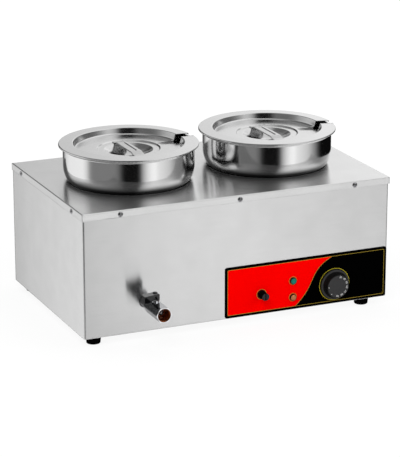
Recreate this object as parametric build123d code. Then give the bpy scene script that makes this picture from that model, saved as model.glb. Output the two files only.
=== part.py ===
from build123d import *
import os
from math import cos, radians, sin, sqrt, tan

# Two-pot wet bain marie in millimetres: +Z up, +X to the right seen from the front, front towards -Y.
# The origin is the centre of the whole part's footprint, on the surface that the feet stand on.

# Sheet metal and general fits
sheet = 1.0
sheet_gap = 0.3
seat_gap = 0.3
running_gap = 0.05
screw_gap = 0.1

# Pots
pot_radius = 110.2
pot_wall = 1.0
pot_bend_radius = 44.0
pot_bend_rise = 25.0
pot_taper_angle = 38.0
pot_drop = 58.0
pot_floor_round = 14.0
rim_width = 6.0
rim_height = 9.0
rim_round = 4.0

# Lids
lid_sheet = 1.0
lid_rise = 63.0
lid_lip = 3.0
lid_spacing = 20.0
lid_step_clearance = 16.0
lid_step_run = 3.0
lid_recess = 10.5
cup_radius = 41.0
cup_floor_radius = 31.0
cup_depth = 13.5
ledge_width = 12.0
ledge_slope = 1.5
ledge_drop = 2.0
notch_width = 14.0
notch_depth = 34.0
notch_angle_left = 5.0
notch_angle_right = -5.0

# Strap handles
handle_width = 20.0
handle_sheet = 1.6
handle_arch = 3.0
handle_foot = 7.0
handle_slope = 10.0
handle_groove_width = 7.5
handle_groove_depth = 0.8

# Casing
end_margin = 30.0
depth_margin = 50.0
body_height = 211.0
bend_radius = 2.5
return_width = 52.0
rear_lip = 14.0
cover_flange = 12.0
cover_round = 1.5
opening_lip = 6.0
vent_count = 9
vent_length = 60.0
vent_width = 4.0
vent_pitch = 10.0
vent_offset = 120.0

# Screws
screw_head_radius = 4.6
screw_crown_radius = 3.4
screw_head_height = 2.2
screw_radius = 2.0
screw_length = 7.0
cover_screw_drop = 7.0
cover_screw_pitch = 210.5
cover_screw_side_pitch = 121.0
rear_screw_inset = 8.0
rear_screw_low = 20.0
rear_screw_high = 32.0

# Feet
foot_height = 15.0
foot_top_radius = 13.0
foot_bottom_radius = 11.5
foot_inset_left = 24.0
foot_inset_right = 36.0
foot_inset_depth = 22.0
foot_sole = 6.0
foot_counterbore_radius = 6.0
foot_screw_spare = 1.5
foot_nut_flats = 8.0
foot_nut_height = 3.5

# Water tank and drain
front_space = 45.0
tank_margin = 12.7
tank_corner_radius = 30.0
tank_flange = 10.0
tank_floor_below_drain = 3.5
drain_radius = 7.0
socket_radius = 14.0
socket_length = 26.0
socket_floor = 8.0

# Heating element
element_radius = 4.0
element_lift = 14.0
element_half_span = 24.0
element_end_room = 40.0
element_stub_radius = 6.0
element_collar_radius = 9.5
element_collar_height = 3.0
element_nut_flats = 17.0
element_nut_height = 5.0
element_pin_radius = 1.6
element_pin_length = 9.0
stay_thickness = 2.0
stay_margin = 9.0
stay_offset = -60.0
gasket_thickness = 1.5

# Drain tap
tap_from_left = 107.5
tap_up = 51.8
tap_reach = 78.0
tap_flats = 24.0
hex_length = 56.0
outlet_radius = 9.3
outlet_depth = 16.0
stem_back = 38.0
ball_radius = 8.0
port_radius = 5.0
cavity_gap = 0.8
seat_near = 5.0
seat_far = 10.0
neck_radius = 10.4
neck_gap = 0.3
tap_gasket_radius = 15.0
locknut_flats = 27.0
locknut_height = 7.0
boss_radius = 6.5
boss_height = 2.2
stem_radius = 3.0
stem_square = 4.4
tongue_width = 3.0
tongue_depth = 2.0

# Tap lever
lever_long = 18.7
lever_short = 6.8
lever_width = 14.0
lever_height = 11.9
lever_end_height = 9.4
lever_end_drop = 1.9
lever_end_run = 6.4
lever_wall = 2.2
lever_top = 3.4
lever_hub_radius = 6.0
lever_nose_chamfer = 1.4
lever_pocket_depth = 3.4
lever_pocket_long = 5.0
lever_pocket_short = 4.2
lever_pocket_apex = 1.2
lever_pocket_foot = 0.8
lever_pocket_rise = 8.2
lever_screw_head_radius = 4.2
lever_screw_head_height = 2.6
lever_screw_radius = 1.4
lever_screw_length = 8.0

# Control panel
panel_width = 300.0
panel_height = 88.0
panel_thickness = 1.0
panel_corner_radius = 4.0
panel_right_gap = 1.3
panel_bottom_gap = 0.8
knob_from_right = 99.4
knob_up = 34.5
lamp_from_right = 177.0
amber_up = 21.9
green_up = 50.8
fuse_from_right = 235.0
fuse_up = 35.0

# Thermostat and knob
thermostat_width = 46.0
thermostat_height = 40.0
thermostat_depth = 34.0
bushing_radius = 5.0
bushing_reach = 4.5
thermostat_nut_flats = 14.0
thermostat_nut_height = 3.0
shaft_radius = 3.0
shaft_sink = 12.0
knob_gap = 0.5
knob_reach = 15.0
knob_skirt_radius = 25.0
knob_skirt_height = 3.0
knob_skirt_slope = 1.0
knob_grip_radius = 20.6
knob_face_radius = 18.4
knob_cap = 3.0
knob_recess_radius = 12.0
knob_recess_depth = 5.5

# Capillary and bulb
bulb_radius = 3.0
bulb_length = 80.0
bulb_centre = -20.0
bulb_up = 98.0
capillary_radius = 1.0
capillary_bend = 12.0
capillary_run = 40.0
capillary_fall = 12.0
capillary_back = 18.0
clip_width = 8.0
clip_wall = 2.0
clip_pitch = 50.0

# Lamps
lens_radius = 6.0
lens_flange = 1.2
lens_shoulder_radius = 4.8
lens_shoulder = 1.8
lens_top_radius = 3.2
lens_reach = 4.6
lamp_radius = 4.9
lamp_depth = 22.0
lamp_nut_flats = 14.0
lamp_nut_height = 3.0

# Fuse
fuse_base_radius = 7.75
fuse_base_height = 2.5
fuse_body_radius = 6.2
fuse_depth = 32.0
fuse_bore_radius = 4.7
fuse_back_wall = 4.0
fuse_nut_flats = 17.0
fuse_nut_height = 4.0
fuse_cap_radius = 6.5
fuse_cap_reach = 17.0
fuse_plug_radius = 4.5
fuse_plug_length = 8.0
fuse_slot_width = 1.5
fuse_slot_depth = 1.8
fuse_link_radius = 2.5
fuse_link_length = 20.0
fuse_link_grip = 5.0

# Cable gland and terminal block
gland_from_right = 75.0
gland_up = 36.0
gland_flats = 24.0
gland_hex_height = 6.0
gland_thread_radius = 8.0
gland_thread_length = 8.0
gland_nose_radius = 8.6
gland_nose_length = 9.0
gland_bore_radius = 4.2
gland_reach = 24.0
dome_radius = 11.8
dome_top_radius = 8.0
dome_slope = 6.0
dome_mouth_radius = 5.0
gland_nut_height = 5.0
block_length = 42.0
block_width = 22.0
block_height = 18.0
block_way_radius = 2.0
block_way_pitch = 13.0
block_from_gland = 70.0
block_from_back = 50.0

# Places worked out from the driving sizes
rim_radius = pot_radius + rim_width
lid_radius = rim_radius + seat_gap + lid_sheet
pot_pitch = 2 * lid_radius + lid_spacing
body_width = pot_pitch + 2 * lid_radius + 2 * end_margin
body_depth = 2 * lid_radius + 2 * depth_margin
front_y = (tap_reach - gland_reach - body_depth) / 2
back_y = front_y + body_depth
mid_y = (front_y + back_y) / 2
left_x = -body_width / 2
right_x = body_width / 2
case_z = foot_height
cover_z = case_z + body_height
wall_top_z = cover_z - sheet
panel_y = front_y - panel_thickness
inner_y = front_y + sheet
pot_places = {"left": -pot_pitch / 2, "right": pot_pitch / 2}
notch_angles = {"left": notch_angle_left, "right": notch_angle_right}
bend_centre_radius = pot_radius - pot_bend_radius
opening_radius = bend_centre_radius + sqrt((pot_bend_radius + seat_gap) ** 2 - pot_bend_rise**2)
lid_z = cover_z + lid_rise
rim_z = lid_z - lid_sheet - seat_gap
tap_x = left_x + tap_from_left
tap_z = case_z + tap_up
mouth_y = front_y - tap_reach
hex_back_y = mouth_y + hex_length
stem_y = mouth_y + stem_back
cavity_radius = ball_radius + cavity_gap
boss_z = tap_z + tap_flats / 2 + boss_height
lever_z = boss_z + seat_gap
tank_half_length = pot_pitch / 2 + opening_radius + tank_margin
tank_front_y = front_y + front_space
tank_back_y = back_y - front_space
tank_floor_z = tap_z - drain_radius - tank_floor_below_drain
socket_y = tank_front_y - socket_length
neck_end_y = tank_front_y - socket_floor
element_z = tank_floor_z + element_lift
knob_x = right_x - knob_from_right
knob_z = case_z + knob_up
lamp_x = right_x - lamp_from_right
lamp_heights = {"green": case_z + green_up, "amber": case_z + amber_up}
fuse_x = right_x - fuse_from_right
fuse_z = case_z + fuse_up
gland_x = right_x - gland_from_right
gland_z = case_z + gland_up
foot_xs = (left_x + foot_inset_left, right_x - foot_inset_right)
foot_ys = (front_y + foot_inset_depth, back_y - foot_inset_depth)
foot_places = [(x, y) for x in foot_xs for y in foot_ys]


def block(x0, x1, y0, y1, z0, z1):
    """Box between two opposite corners."""
    return Pos((x0 + x1) / 2, (y0 + y1) / 2, (z0 + z1) / 2) * Box(x1 - x0, y1 - y0, z1 - z0)


def rod_x(radius, x0, x1, y, z):
    """Cylinder along X between two planes."""
    return Pos((x0 + x1) / 2, y, z) * Rot(0, 90, 0) * Cylinder(radius, x1 - x0)


def rod_y(radius, y0, y1, x, z):
    """Cylinder along Y between two planes."""
    return Pos(x, (y0 + y1) / 2, z) * Rot(90, 0, 0) * Cylinder(radius, y1 - y0)


def rod_z(radius, z0, z1, x, y):
    """Cylinder along Z between two planes."""
    return Pos(x, y, (z0 + z1) / 2) * Cylinder(radius, z1 - z0)


def hex_y(flats, y0, y1, x, z):
    """Hexagonal prism along Y, one flat on top."""
    profile = RegularPolygon(flats / 2, 6, major_radius=False)
    return Pos(x, y1, z) * extrude(Plane.XZ * profile, y1 - y0)


def hex_x(flats, x0, x1, y, z):
    """Hexagonal prism along X, one flat on top."""
    return Pos(x0, y, z) * Rot(0, 0, 90) * hex_y(flats, x0 - x1, 0, 0, 0)


def turned(outline):
    """Solid of revolution about Z of a closed outline in radius and height."""
    return revolve(Plane.XZ * make_face(outline), axis=Axis.Z)


def facing_front(solid, x, y, z):
    """Place a piece that was turned about Z so that its top looks to the front."""
    return Pos(x, y, z) * Rot(90, 0, 0) * solid


def pan_screw(length):
    """Pan-head screw: head above the XY plane, shank below it."""
    return turned(
        Polyline(
            (0, -length),
            (screw_radius, -length),
            (screw_radius, 0),
            (screw_head_radius, 0),
            (screw_crown_radius, screw_head_height),
            (0, screw_head_height),
            close=True,
        )
    )


def cover_screw_places():
    """Seat point and turn of each cover screw, head outwards, on the four flanges."""
    reach = sheet_gap + sheet
    z = cover_z - cover_screw_drop
    places = []
    for x in (-cover_screw_pitch, 0, cover_screw_pitch):
        places.append(Pos(x, front_y - reach, z) * Rot(90, 0, 0))
        places.append(Pos(x, back_y + reach, z) * Rot(-90, 0, 0))
    for y in (mid_y - cover_screw_side_pitch, mid_y + cover_screw_side_pitch):
        places.append(Pos(left_x - reach, y, z) * Rot(0, -90, 0))
        places.append(Pos(right_x + reach, y, z) * Rot(0, 90, 0))
    return places


def rear_screw_places():
    """Seat point and turn of each rear panel screw, head to the back."""
    xs = (left_x + rear_screw_inset, right_x - rear_screw_inset)
    zs = (case_z + rear_screw_low, cover_z - rear_screw_high)
    return [Pos(x, back_y, z) * Rot(-90, 0, 0) for x in xs for z in zs]


def screw_holes(places):
    """Clearance holes for screws at their seats."""
    hole = Cylinder(screw_radius + screw_gap, 2 * screw_length)
    return [place * hole for place in places]


def panel_holes():
    """Holes through the control panel and the casing's front behind it."""
    y0 = panel_y - sheet
    y1 = inner_y + sheet
    holes = [rod_y(lamp_radius + screw_gap, y0, y1, lamp_x, z) for z in lamp_heights.values()]
    holes.append(rod_y(fuse_body_radius + screw_gap, y0, y1, fuse_x, fuse_z))
    holes.append(rod_y(bushing_radius + screw_gap, y0, y1, knob_x, knob_z))
    return holes


def casing_wrap():
    """Front and both sides in one bent sheet, with rear lips and bottom returns."""
    side_back_y = back_y - sheet
    depth = side_back_y - front_y
    outer = Pos(0, front_y + depth / 2) * Rectangle(body_width, depth)
    outer = fillet(outer.vertices().sort_by(Axis.Y)[:2], bend_radius)
    inner = Pos(0, front_y + depth / 2) * Rectangle(body_width - 2 * sheet, depth - 2 * sheet)
    inner = fillet(inner.vertices().sort_by(Axis.Y)[:2], bend_radius - sheet)
    mouth = Pos(0, side_back_y) * Rectangle(body_width - 2 * rear_lip, 4 * sheet)
    walls = extrude(Pos(0, 0, case_z) * (outer - inner - mouth), wall_top_z - case_z)
    floor = extrude(Pos(0, 0, case_z + sheet) * inner, sheet)
    inset = sheet + return_width
    floor -= block(left_x + inset, right_x - inset, front_y + inset, back_y, case_z, cover_z)
    wrap = walls + floor
    wrap -= panel_holes()
    wrap -= rod_y(neck_radius + neck_gap, front_y - sheet, inner_y + sheet, tap_x, tap_z)
    wrap -= screw_holes(cover_screw_places() + rear_screw_places())
    wrap -= [rod_z(screw_radius + screw_gap, 0, cover_z / 2, x, y) for x, y in foot_places]
    return wrap


def rear_panel():
    """Flat sheet over the back, with two vent groups and the gland's hole."""
    panel = block(left_x, right_x, back_y - sheet, back_y, case_z, wall_top_z)
    panel -= screw_holes(cover_screw_places() + rear_screw_places())
    panel -= rod_y(gland_thread_radius + screw_gap, back_y - 2 * sheet, back_y + sheet, gland_x, gland_z)
    vent = Box(vent_length, 4 * sheet, vent_width)
    first_z = case_z + body_height / 2 - (vent_count - 1) * vent_pitch / 2
    for x in (-vent_offset, vent_offset):
        panel -= [Pos(x, back_y, first_z + i * vent_pitch) * vent for i in range(vent_count)]
    return panel


def base_plate():
    """Bottom sheet between the walls, under the wrap's returns, with vents."""
    inset = sheet + sheet_gap
    y0 = front_y + inset
    y1 = back_y - sheet - inset
    plan = Pos(0, (y0 + y1) / 2) * Rectangle(body_width - 2 * inset, y1 - y0)
    plan = fillet(plan.vertices().sort_by(Axis.Y)[:2], bend_radius)
    plate = extrude(Pos(0, 0, case_z) * plan, sheet)
    plate -= [rod_z(screw_radius + screw_gap, 0, cover_z / 2, x, y) for x, y in foot_places]
    vent = Box(vent_length, vent_width, 4 * sheet)
    first_y = mid_y - (vent_count - 1) * vent_pitch / 2
    for x in (-vent_offset, vent_offset):
        plate -= [Pos(x, first_y + i * vent_pitch, case_z) * vent for i in range(vent_count)]
    return plate


def top_cover():
    """Shallow tray over the casing: flanges outside it and two lipped pot openings."""
    reach = sheet_gap + sheet
    z0 = cover_z - cover_flange
    tray = block(left_x - reach, right_x + reach, front_y - reach, back_y + reach, z0, cover_z)
    tray = fillet(tray.edges().group_by(Axis.Z)[-1], cover_round)
    tray -= block(
        left_x - sheet_gap,
        right_x + sheet_gap,
        front_y - sheet_gap,
        back_y + sheet_gap,
        z0 - sheet,
        wall_top_z,
    )
    for x in pot_places.values():
        tray += rod_z(opening_radius + sheet, cover_z - opening_lip, wall_top_z, x, mid_y)
        tray -= rod_z(opening_radius, z0 - opening_lip, cover_z + sheet, x, mid_y)
    tray -= screw_holes(cover_screw_places())
    return tray


def water_tank():
    """Welded water bath under the cover, with the drain and element holes."""
    width = tank_back_y - tank_front_y
    height = wall_top_z - tank_floor_z + sheet
    shell = RectangleRounded(2 * tank_half_length, width, tank_corner_radius)
    inside = RectangleRounded(
        2 * (tank_half_length - sheet), width - 2 * sheet, tank_corner_radius - sheet
    )
    flange = RectangleRounded(
        2 * (tank_half_length + tank_flange),
        width + 2 * tank_flange,
        tank_corner_radius + tank_flange,
    )
    tank = extrude(Pos(0, mid_y, tank_floor_z - sheet) * shell, height)
    tank += extrude(Pos(0, mid_y, wall_top_z - sheet) * flange, sheet)
    tank -= extrude(Pos(0, mid_y, tank_floor_z) * inside, height)
    tank -= rod_y(drain_radius, tank_front_y - sheet, tank_front_y + 2 * sheet, tap_x, tap_z)
    for y in (mid_y - element_half_span, mid_y + element_half_span):
        tank -= rod_x(
            element_stub_radius + screw_gap,
            tank_half_length - 2 * sheet,
            tank_half_length + sheet,
            y,
            element_z,
        )
    return tank


def heating():
    """Hairpin element on the tank floor, sealed through the tank's right end."""
    wall_x = tank_half_length - sheet
    collar_x = wall_x - gasket_thickness
    stub_x = tank_half_length + element_nut_height + sheet
    bend_x = -tank_half_length + element_end_room + element_half_span
    legs = (mid_y - element_half_span, mid_y + element_half_span)
    section = Pos(0, element_half_span) * Circle(element_radius)
    bend = revolve(Plane.YZ * (Rot(0, 0, -90) * section), axis=Axis.Z, revolution_arc=180)
    bend = Pos(bend_x, mid_y, element_z) * bend
    element = bend
    gaskets = []
    nuts = []
    for y in legs:
        collar_back_x = collar_x - element_collar_height
        element += rod_x(element_radius, bend_x, collar_back_x, y, element_z)
        element += rod_x(element_collar_radius, collar_back_x, collar_x, y, element_z)
        element += rod_x(element_stub_radius, collar_x, stub_x, y, element_z)
        element += rod_x(element_pin_radius, stub_x, stub_x + element_pin_length, y, element_z)
        hole = rod_x(element_stub_radius + running_gap, collar_x - sheet, stub_x, y, element_z)
        gaskets.append(rod_x(element_collar_radius, collar_x, wall_x, y, element_z) - hole)
        nut_end_x = tank_half_length + element_nut_height
        nuts.append(hex_x(element_nut_flats, tank_half_length, nut_end_x, y, element_z) - hole)
    stay = block(
        stay_offset - stay_thickness / 2,
        stay_offset + stay_thickness / 2,
        legs[0] - stay_margin,
        legs[1] + stay_margin,
        tank_floor_z,
        element_z + stay_margin,
    )
    for y in legs:
        stay -= rod_x(element_radius + running_gap, -tank_half_length, tank_half_length, y, element_z)
    return {
        "heating_element": element,
        "element_gaskets": Compound(children=gaskets),
        "element_nuts": Compound(children=nuts),
        "element_stay": stay,
    }


def drain_fittings():
    """Socket welded to the tank, threaded neck through the front, its gasket and locknut."""
    socket = rod_y(socket_radius, socket_y, tank_front_y, tap_x, tap_z)
    socket -= rod_y(neck_radius + running_gap, socket_y - sheet, neck_end_y, tap_x, tap_z)
    socket -= rod_y(drain_radius, neck_end_y - sheet, tank_front_y + sheet, tap_x, tap_z)
    nose_y = stem_y + seat_far
    neck = rod_y(cavity_radius - running_gap, nose_y, hex_back_y, tap_x, tap_z)
    neck += rod_y(neck_radius, hex_back_y, neck_end_y, tap_x, tap_z)
    neck -= rod_y(port_radius, nose_y - sheet, neck_end_y + sheet, tap_x, tap_z)
    thread = rod_y(neck_radius + running_gap, hex_back_y, neck_end_y, tap_x, tap_z)
    gasket_y = inner_y + gasket_thickness
    gasket = rod_y(tap_gasket_radius, inner_y, gasket_y, tap_x, tap_z) - thread
    locknut = hex_y(locknut_flats, gasket_y, gasket_y + locknut_height, tap_x, tap_z) - thread
    return {
        "drain_socket": socket,
        "tap_neck": neck,
        "tap_gasket": gasket,
        "tap_locknut": locknut,
    }


def tap_valve():
    """Hexagonal ball valve: body, two seats, ball and stem, closed."""
    body = hex_y(tap_flats, mouth_y, hex_back_y, tap_x, tap_z)
    body += rod_z(boss_radius, tap_z + cavity_radius, boss_z, tap_x, stem_y)
    body -= rod_y(outlet_radius, mouth_y - sheet, mouth_y + outlet_depth, tap_x, tap_z)
    body -= rod_y(port_radius, mouth_y, stem_y, tap_x, tap_z)
    body -= rod_y(cavity_radius, stem_y - seat_far, hex_back_y + sheet, tap_x, tap_z)
    body -= rod_z(stem_radius + running_gap, tap_z, boss_z + sheet, tap_x, stem_y)
    dish = sqrt(2) * (ball_radius + seat_gap)
    seat_radius = cavity_radius - running_gap
    seat = turned(
        Polyline(
            (port_radius, dish - port_radius),
            (dish - seat_near, seat_near),
            (seat_radius, seat_near),
            (seat_radius, seat_far),
            (port_radius, seat_far),
            close=True,
        )
    )
    seats = [Pos(tap_x, stem_y, tap_z) * Rot(tilt, 0, 0) * seat for tilt in (90, -90)]
    ball = Pos(tap_x, stem_y, tap_z) * Sphere(ball_radius)
    ball -= rod_x(port_radius, tap_x - 2 * ball_radius, tap_x + 2 * ball_radius, stem_y, tap_z)
    slot_z = tap_z + ball_radius - tongue_depth
    ball -= block(
        tap_x - ball_radius,
        tap_x + ball_radius,
        stem_y - tongue_width / 2,
        stem_y + tongue_width / 2,
        slot_z,
        tap_z + 2 * ball_radius,
    )
    tongue = block(
        tap_x - stem_radius,
        tap_x + stem_radius,
        stem_y - tongue_width / 2,
        stem_y + tongue_width / 2,
        slot_z,
        tap_z + cavity_radius,
    )
    tongue &= rod_z(stem_radius, slot_z, boss_z, tap_x, stem_y)
    square_top_z = lever_z + lever_height - lever_top
    stem = tongue + rod_z(stem_radius, tap_z + cavity_radius, lever_z, tap_x, stem_y)
    stem += Pos(tap_x, stem_y, (lever_z + square_top_z) / 2) * Box(
        stem_square, stem_square, square_top_z - lever_z
    )
    screw_foot_z = lever_z + lever_height - lever_screw_length
    stem -= rod_z(lever_screw_radius + running_gap, screw_foot_z, cover_z, tap_x, stem_y)
    return {
        "tap_body": body,
        "tap_seats": Compound(children=seats),
        "tap_ball": ball,
        "tap_stem": stem,
    }


def tap_lever():
    """Quarter-turn lever, hollow underneath, and the screw that holds it on the stem."""
    top_z = lever_z + lever_height
    end_x = tap_x - lever_long
    nose_x = tap_x + lever_short
    drop_z = lever_z - lever_end_drop
    side = Polyline(
        (end_x, drop_z),
        (end_x, lever_z + lever_end_height),
        (nose_x - lever_nose_chamfer, top_z),
        (nose_x, top_z - lever_nose_chamfer),
        (nose_x, lever_z),
        (tap_x - boss_radius - sheet, lever_z),
        (end_x + lever_end_run, drop_z),
        close=True,
    )
    lever = Pos(0, stem_y + lever_width / 2, 0) * extrude(Plane.XZ * make_face(side), lever_width)
    half_width = lever_width / 2 - lever_wall
    lever -= block(
        end_x + lever_wall,
        tap_x - lever_hub_radius - lever_wall,
        stem_y - half_width,
        stem_y + half_width,
        drop_z - sheet,
        lever_z + lever_end_height - lever_top,
    )
    pocket = Polyline(
        (tap_x - lever_pocket_long, lever_z + lever_pocket_foot),
        (tap_x + lever_pocket_short, lever_z + lever_pocket_foot),
        (tap_x + lever_pocket_apex, lever_z + lever_pocket_rise),
        close=True,
    )
    for outside_y in (stem_y + lever_width / 2 + sheet, stem_y - lever_width / 2 + lever_pocket_depth):
        prism = extrude(Plane.XZ * make_face(pocket), lever_pocket_depth + sheet)
        lever -= Pos(0, outside_y, 0) * prism
    lever -= Pos(tap_x, stem_y, lever_z + lever_height / 2 - lever_top) * Box(
        stem_square + running_gap, stem_square + running_gap, lever_height
    )
    lever -= rod_z(lever_screw_radius + screw_gap, lever_z, top_z + sheet, tap_x, stem_y)
    screw = turned(
        Polyline(
            (0, -lever_screw_length),
            (lever_screw_radius, -lever_screw_length),
            (lever_screw_radius, 0),
            (lever_screw_head_radius, 0),
            (lever_screw_head_radius - lever_screw_head_height / 2, lever_screw_head_height),
            (0, lever_screw_head_height),
            close=True,
        )
    )
    return {"tap_lever": lever, "tap_lever_screw": Pos(tap_x, stem_y, top_z) * screw}


def control_panel():
    """Printed plate at the front's lower right corner."""
    x1 = right_x - panel_right_gap
    z0 = case_z + panel_bottom_gap
    plan = RectangleRounded(panel_width, panel_height, panel_corner_radius)
    plate = extrude(Plane.XZ * plan, panel_thickness)
    plate = Pos(x1 - panel_width / 2, front_y, z0 + panel_height / 2) * plate
    return plate - panel_holes()


def thermostat():
    """Thermostat with its bushing nut, turning shaft and knob."""
    back = inner_y + thermostat_depth
    body = block(
        knob_x - thermostat_width / 2,
        knob_x + thermostat_width / 2,
        inner_y,
        back,
        knob_z - thermostat_height / 2,
        knob_z + thermostat_height / 2,
    )
    bushing_y = panel_y - bushing_reach
    shaft_y = inner_y + shaft_sink
    body += rod_y(bushing_radius, bushing_y, inner_y, knob_x, knob_z)
    body -= rod_y(shaft_radius + running_gap, bushing_y - sheet, shaft_y, knob_x, knob_z)
    nut = hex_y(thermostat_nut_flats, panel_y - thermostat_nut_height, panel_y, knob_x, knob_z)
    nut -= rod_y(bushing_radius + running_gap, panel_y - thermostat_nut_height, panel_y, knob_x, knob_z)
    socket_reach = knob_reach - knob_cap
    recess = knob_gap + knob_recess_depth
    skirt = knob_gap + knob_skirt_height
    knob = turned(
        Polyline(
            (0, socket_reach),
            (shaft_radius + running_gap, socket_reach),
            (shaft_radius + running_gap, recess),
            (knob_recess_radius, recess),
            (knob_recess_radius, knob_gap),
            (knob_skirt_radius, knob_gap),
            (knob_skirt_radius, skirt),
            (knob_grip_radius, skirt + knob_skirt_slope),
            (knob_face_radius, knob_reach),
            (0, knob_reach),
            close=True,
        )
    )
    shaft = rod_y(shaft_radius, panel_y - socket_reach, shaft_y - seat_gap, knob_x, knob_z)
    return {
        "thermostat_body": body,
        "thermostat_nut": nut,
        "thermostat_shaft": shaft,
        "thermostat_knob": facing_front(knob, knob_x, panel_y, knob_z),
    }


def capillary():
    """Sensing bulb clipped to the tank's front, and its capillary down to the thermostat."""
    bulb_y = tank_front_y - bulb_radius - seat_gap
    bulb_z = case_z + bulb_up
    bulb_end_x = bulb_centre + bulb_length / 2
    top_z = knob_z + thermostat_height / 2
    exit_y = inner_y + capillary_back
    bulb = rod_x(bulb_radius, bulb_centre - bulb_length / 2, bulb_end_x, bulb_y, bulb_z)
    route = FilletPolyline(
        (bulb_end_x, bulb_y, bulb_z),
        (knob_x - capillary_run, bulb_y, bulb_z),
        (knob_x, exit_y, bulb_z - capillary_fall),
        (knob_x, exit_y, top_z),
        radius=capillary_bend,
    )
    section = Plane(origin=route @ 0, z_dir=route % 0) * Circle(capillary_radius)
    clips = []
    half_height = bulb_radius + clip_wall
    for x in (bulb_centre - clip_pitch / 2, bulb_centre + clip_pitch / 2):
        clip = block(
            x - clip_width / 2,
            x + clip_width / 2,
            bulb_y - half_height,
            tank_front_y,
            bulb_z - half_height,
            bulb_z + half_height,
        )
        clip -= rod_x(bulb_radius + running_gap, x - clip_width, x + clip_width, bulb_y, bulb_z)
        clips.append(clip)
    return {
        "thermostat_bulb": bulb + sweep(section, path=route),
        "bulb_clips": Compound(children=clips),
    }


def lamps():
    """Indicator lamps: a lens on the panel, a body through it and a nut behind."""
    lens = turned(
        Polyline(
            (0, 0),
            (lens_radius, 0),
            (lens_radius, lens_flange),
            (lens_shoulder_radius, lens_shoulder),
            (lens_top_radius, lens_reach),
            (0, lens_reach),
            close=True,
        )
    )
    nodes = {}
    nuts = []
    for colour, z in lamp_heights.items():
        nodes[f"{colour}_lamp_lens"] = facing_front(lens, lamp_x, panel_y, z)
        nodes[f"{colour}_lamp_body"] = rod_y(lamp_radius, panel_y, inner_y + lamp_depth, lamp_x, z)
        nut = hex_y(lamp_nut_flats, inner_y, inner_y + lamp_nut_height, lamp_x, z)
        nuts.append(nut - rod_y(lamp_radius + running_gap, inner_y, inner_y + lamp_nut_height, lamp_x, z))
    nodes["lamp_nuts"] = Compound(children=nuts)
    return nodes


def fuse():
    """Fuse holder through the panel, with a slotted cap that carries the fuse link."""
    base_y = panel_y - fuse_base_height
    back = inner_y + fuse_depth
    body = rod_y(fuse_base_radius, base_y, panel_y, fuse_x, fuse_z)
    body += rod_y(fuse_body_radius, panel_y, back, fuse_x, fuse_z)
    body -= rod_y(fuse_bore_radius, base_y - sheet, back - fuse_back_wall, fuse_x, fuse_z)
    nut = hex_y(fuse_nut_flats, inner_y, inner_y + fuse_nut_height, fuse_x, fuse_z)
    nut -= rod_y(fuse_body_radius + running_gap, inner_y, inner_y + fuse_nut_height, fuse_x, fuse_z)
    cap_y = panel_y - fuse_cap_reach
    plug_y = base_y + fuse_plug_length
    grip_y = plug_y - fuse_link_grip
    cap = rod_y(fuse_cap_radius, cap_y, base_y - seat_gap, fuse_x, fuse_z)
    cap += rod_y(fuse_plug_radius, base_y - seat_gap, plug_y, fuse_x, fuse_z)
    cap -= rod_y(fuse_link_radius + running_gap, grip_y, plug_y + sheet, fuse_x, fuse_z)
    cap -= Pos(fuse_x, cap_y, fuse_z) * Box(fuse_slot_width, 2 * fuse_slot_depth, 3 * fuse_cap_radius)
    link = rod_y(fuse_link_radius, grip_y, grip_y + fuse_link_length, fuse_x, fuse_z)
    return {
        "fuse_holder_body": body,
        "fuse_holder_nut": nut,
        "fuse_cap": cap,
        "fuse_link": link,
    }


def mains_inlet():
    """Cable gland through the rear panel, its locknut, and the terminal block inside."""
    hex_y1 = back_y + gland_hex_height
    nose_y = hex_y1 + gland_nose_length
    inside_y = back_y - sheet
    thread_y = inside_y - gland_thread_length
    body = hex_y(gland_flats, back_y, hex_y1, gland_x, gland_z)
    body += rod_y(gland_thread_radius, thread_y, back_y, gland_x, gland_z)
    body += rod_y(gland_nose_radius, hex_y1, nose_y, gland_x, gland_z)
    body -= rod_y(gland_bore_radius, thread_y - sheet, nose_y + sheet, gland_x, gland_z)
    height = gland_reach - gland_hex_height
    nose_room = gland_nose_length + seat_gap
    nut_radius = gland_nose_radius + running_gap
    dome = turned(
        Polyline(
            (nut_radius, 0),
            (dome_radius, 0),
            (dome_radius, height - dome_slope),
            (dome_top_radius, height),
            (dome_mouth_radius, height),
            (dome_mouth_radius, nose_room),
            (nut_radius, nose_room),
            close=True,
        )
    )
    locknut = hex_y(gland_flats, inside_y - gland_nut_height, inside_y, gland_x, gland_z)
    locknut -= rod_y(
        gland_thread_radius + running_gap, inside_y - gland_nut_height, inside_y, gland_x, gland_z
    )
    block_x = gland_x - block_from_gland
    block_y = back_y - block_from_back
    floor_z = case_z + sheet
    terminals = block(
        block_x - block_length / 2,
        block_x + block_length / 2,
        block_y - block_width / 2,
        block_y + block_width / 2,
        floor_z,
        floor_z + block_height,
    )
    for i in (-1, 0, 1):
        way_x = block_x + i * block_way_pitch
        terminals -= rod_y(
            block_way_radius, block_y - block_width, block_y + block_width, way_x, floor_z + block_height / 2
        )
    return {
        "cable_gland_body": body,
        "cable_gland_nut": Pos(gland_x, hex_y1, gland_z) * Rot(-90, 0, 0) * dome,
        "cable_gland_locknut": locknut,
        "terminal_block": terminals,
    }


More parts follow.
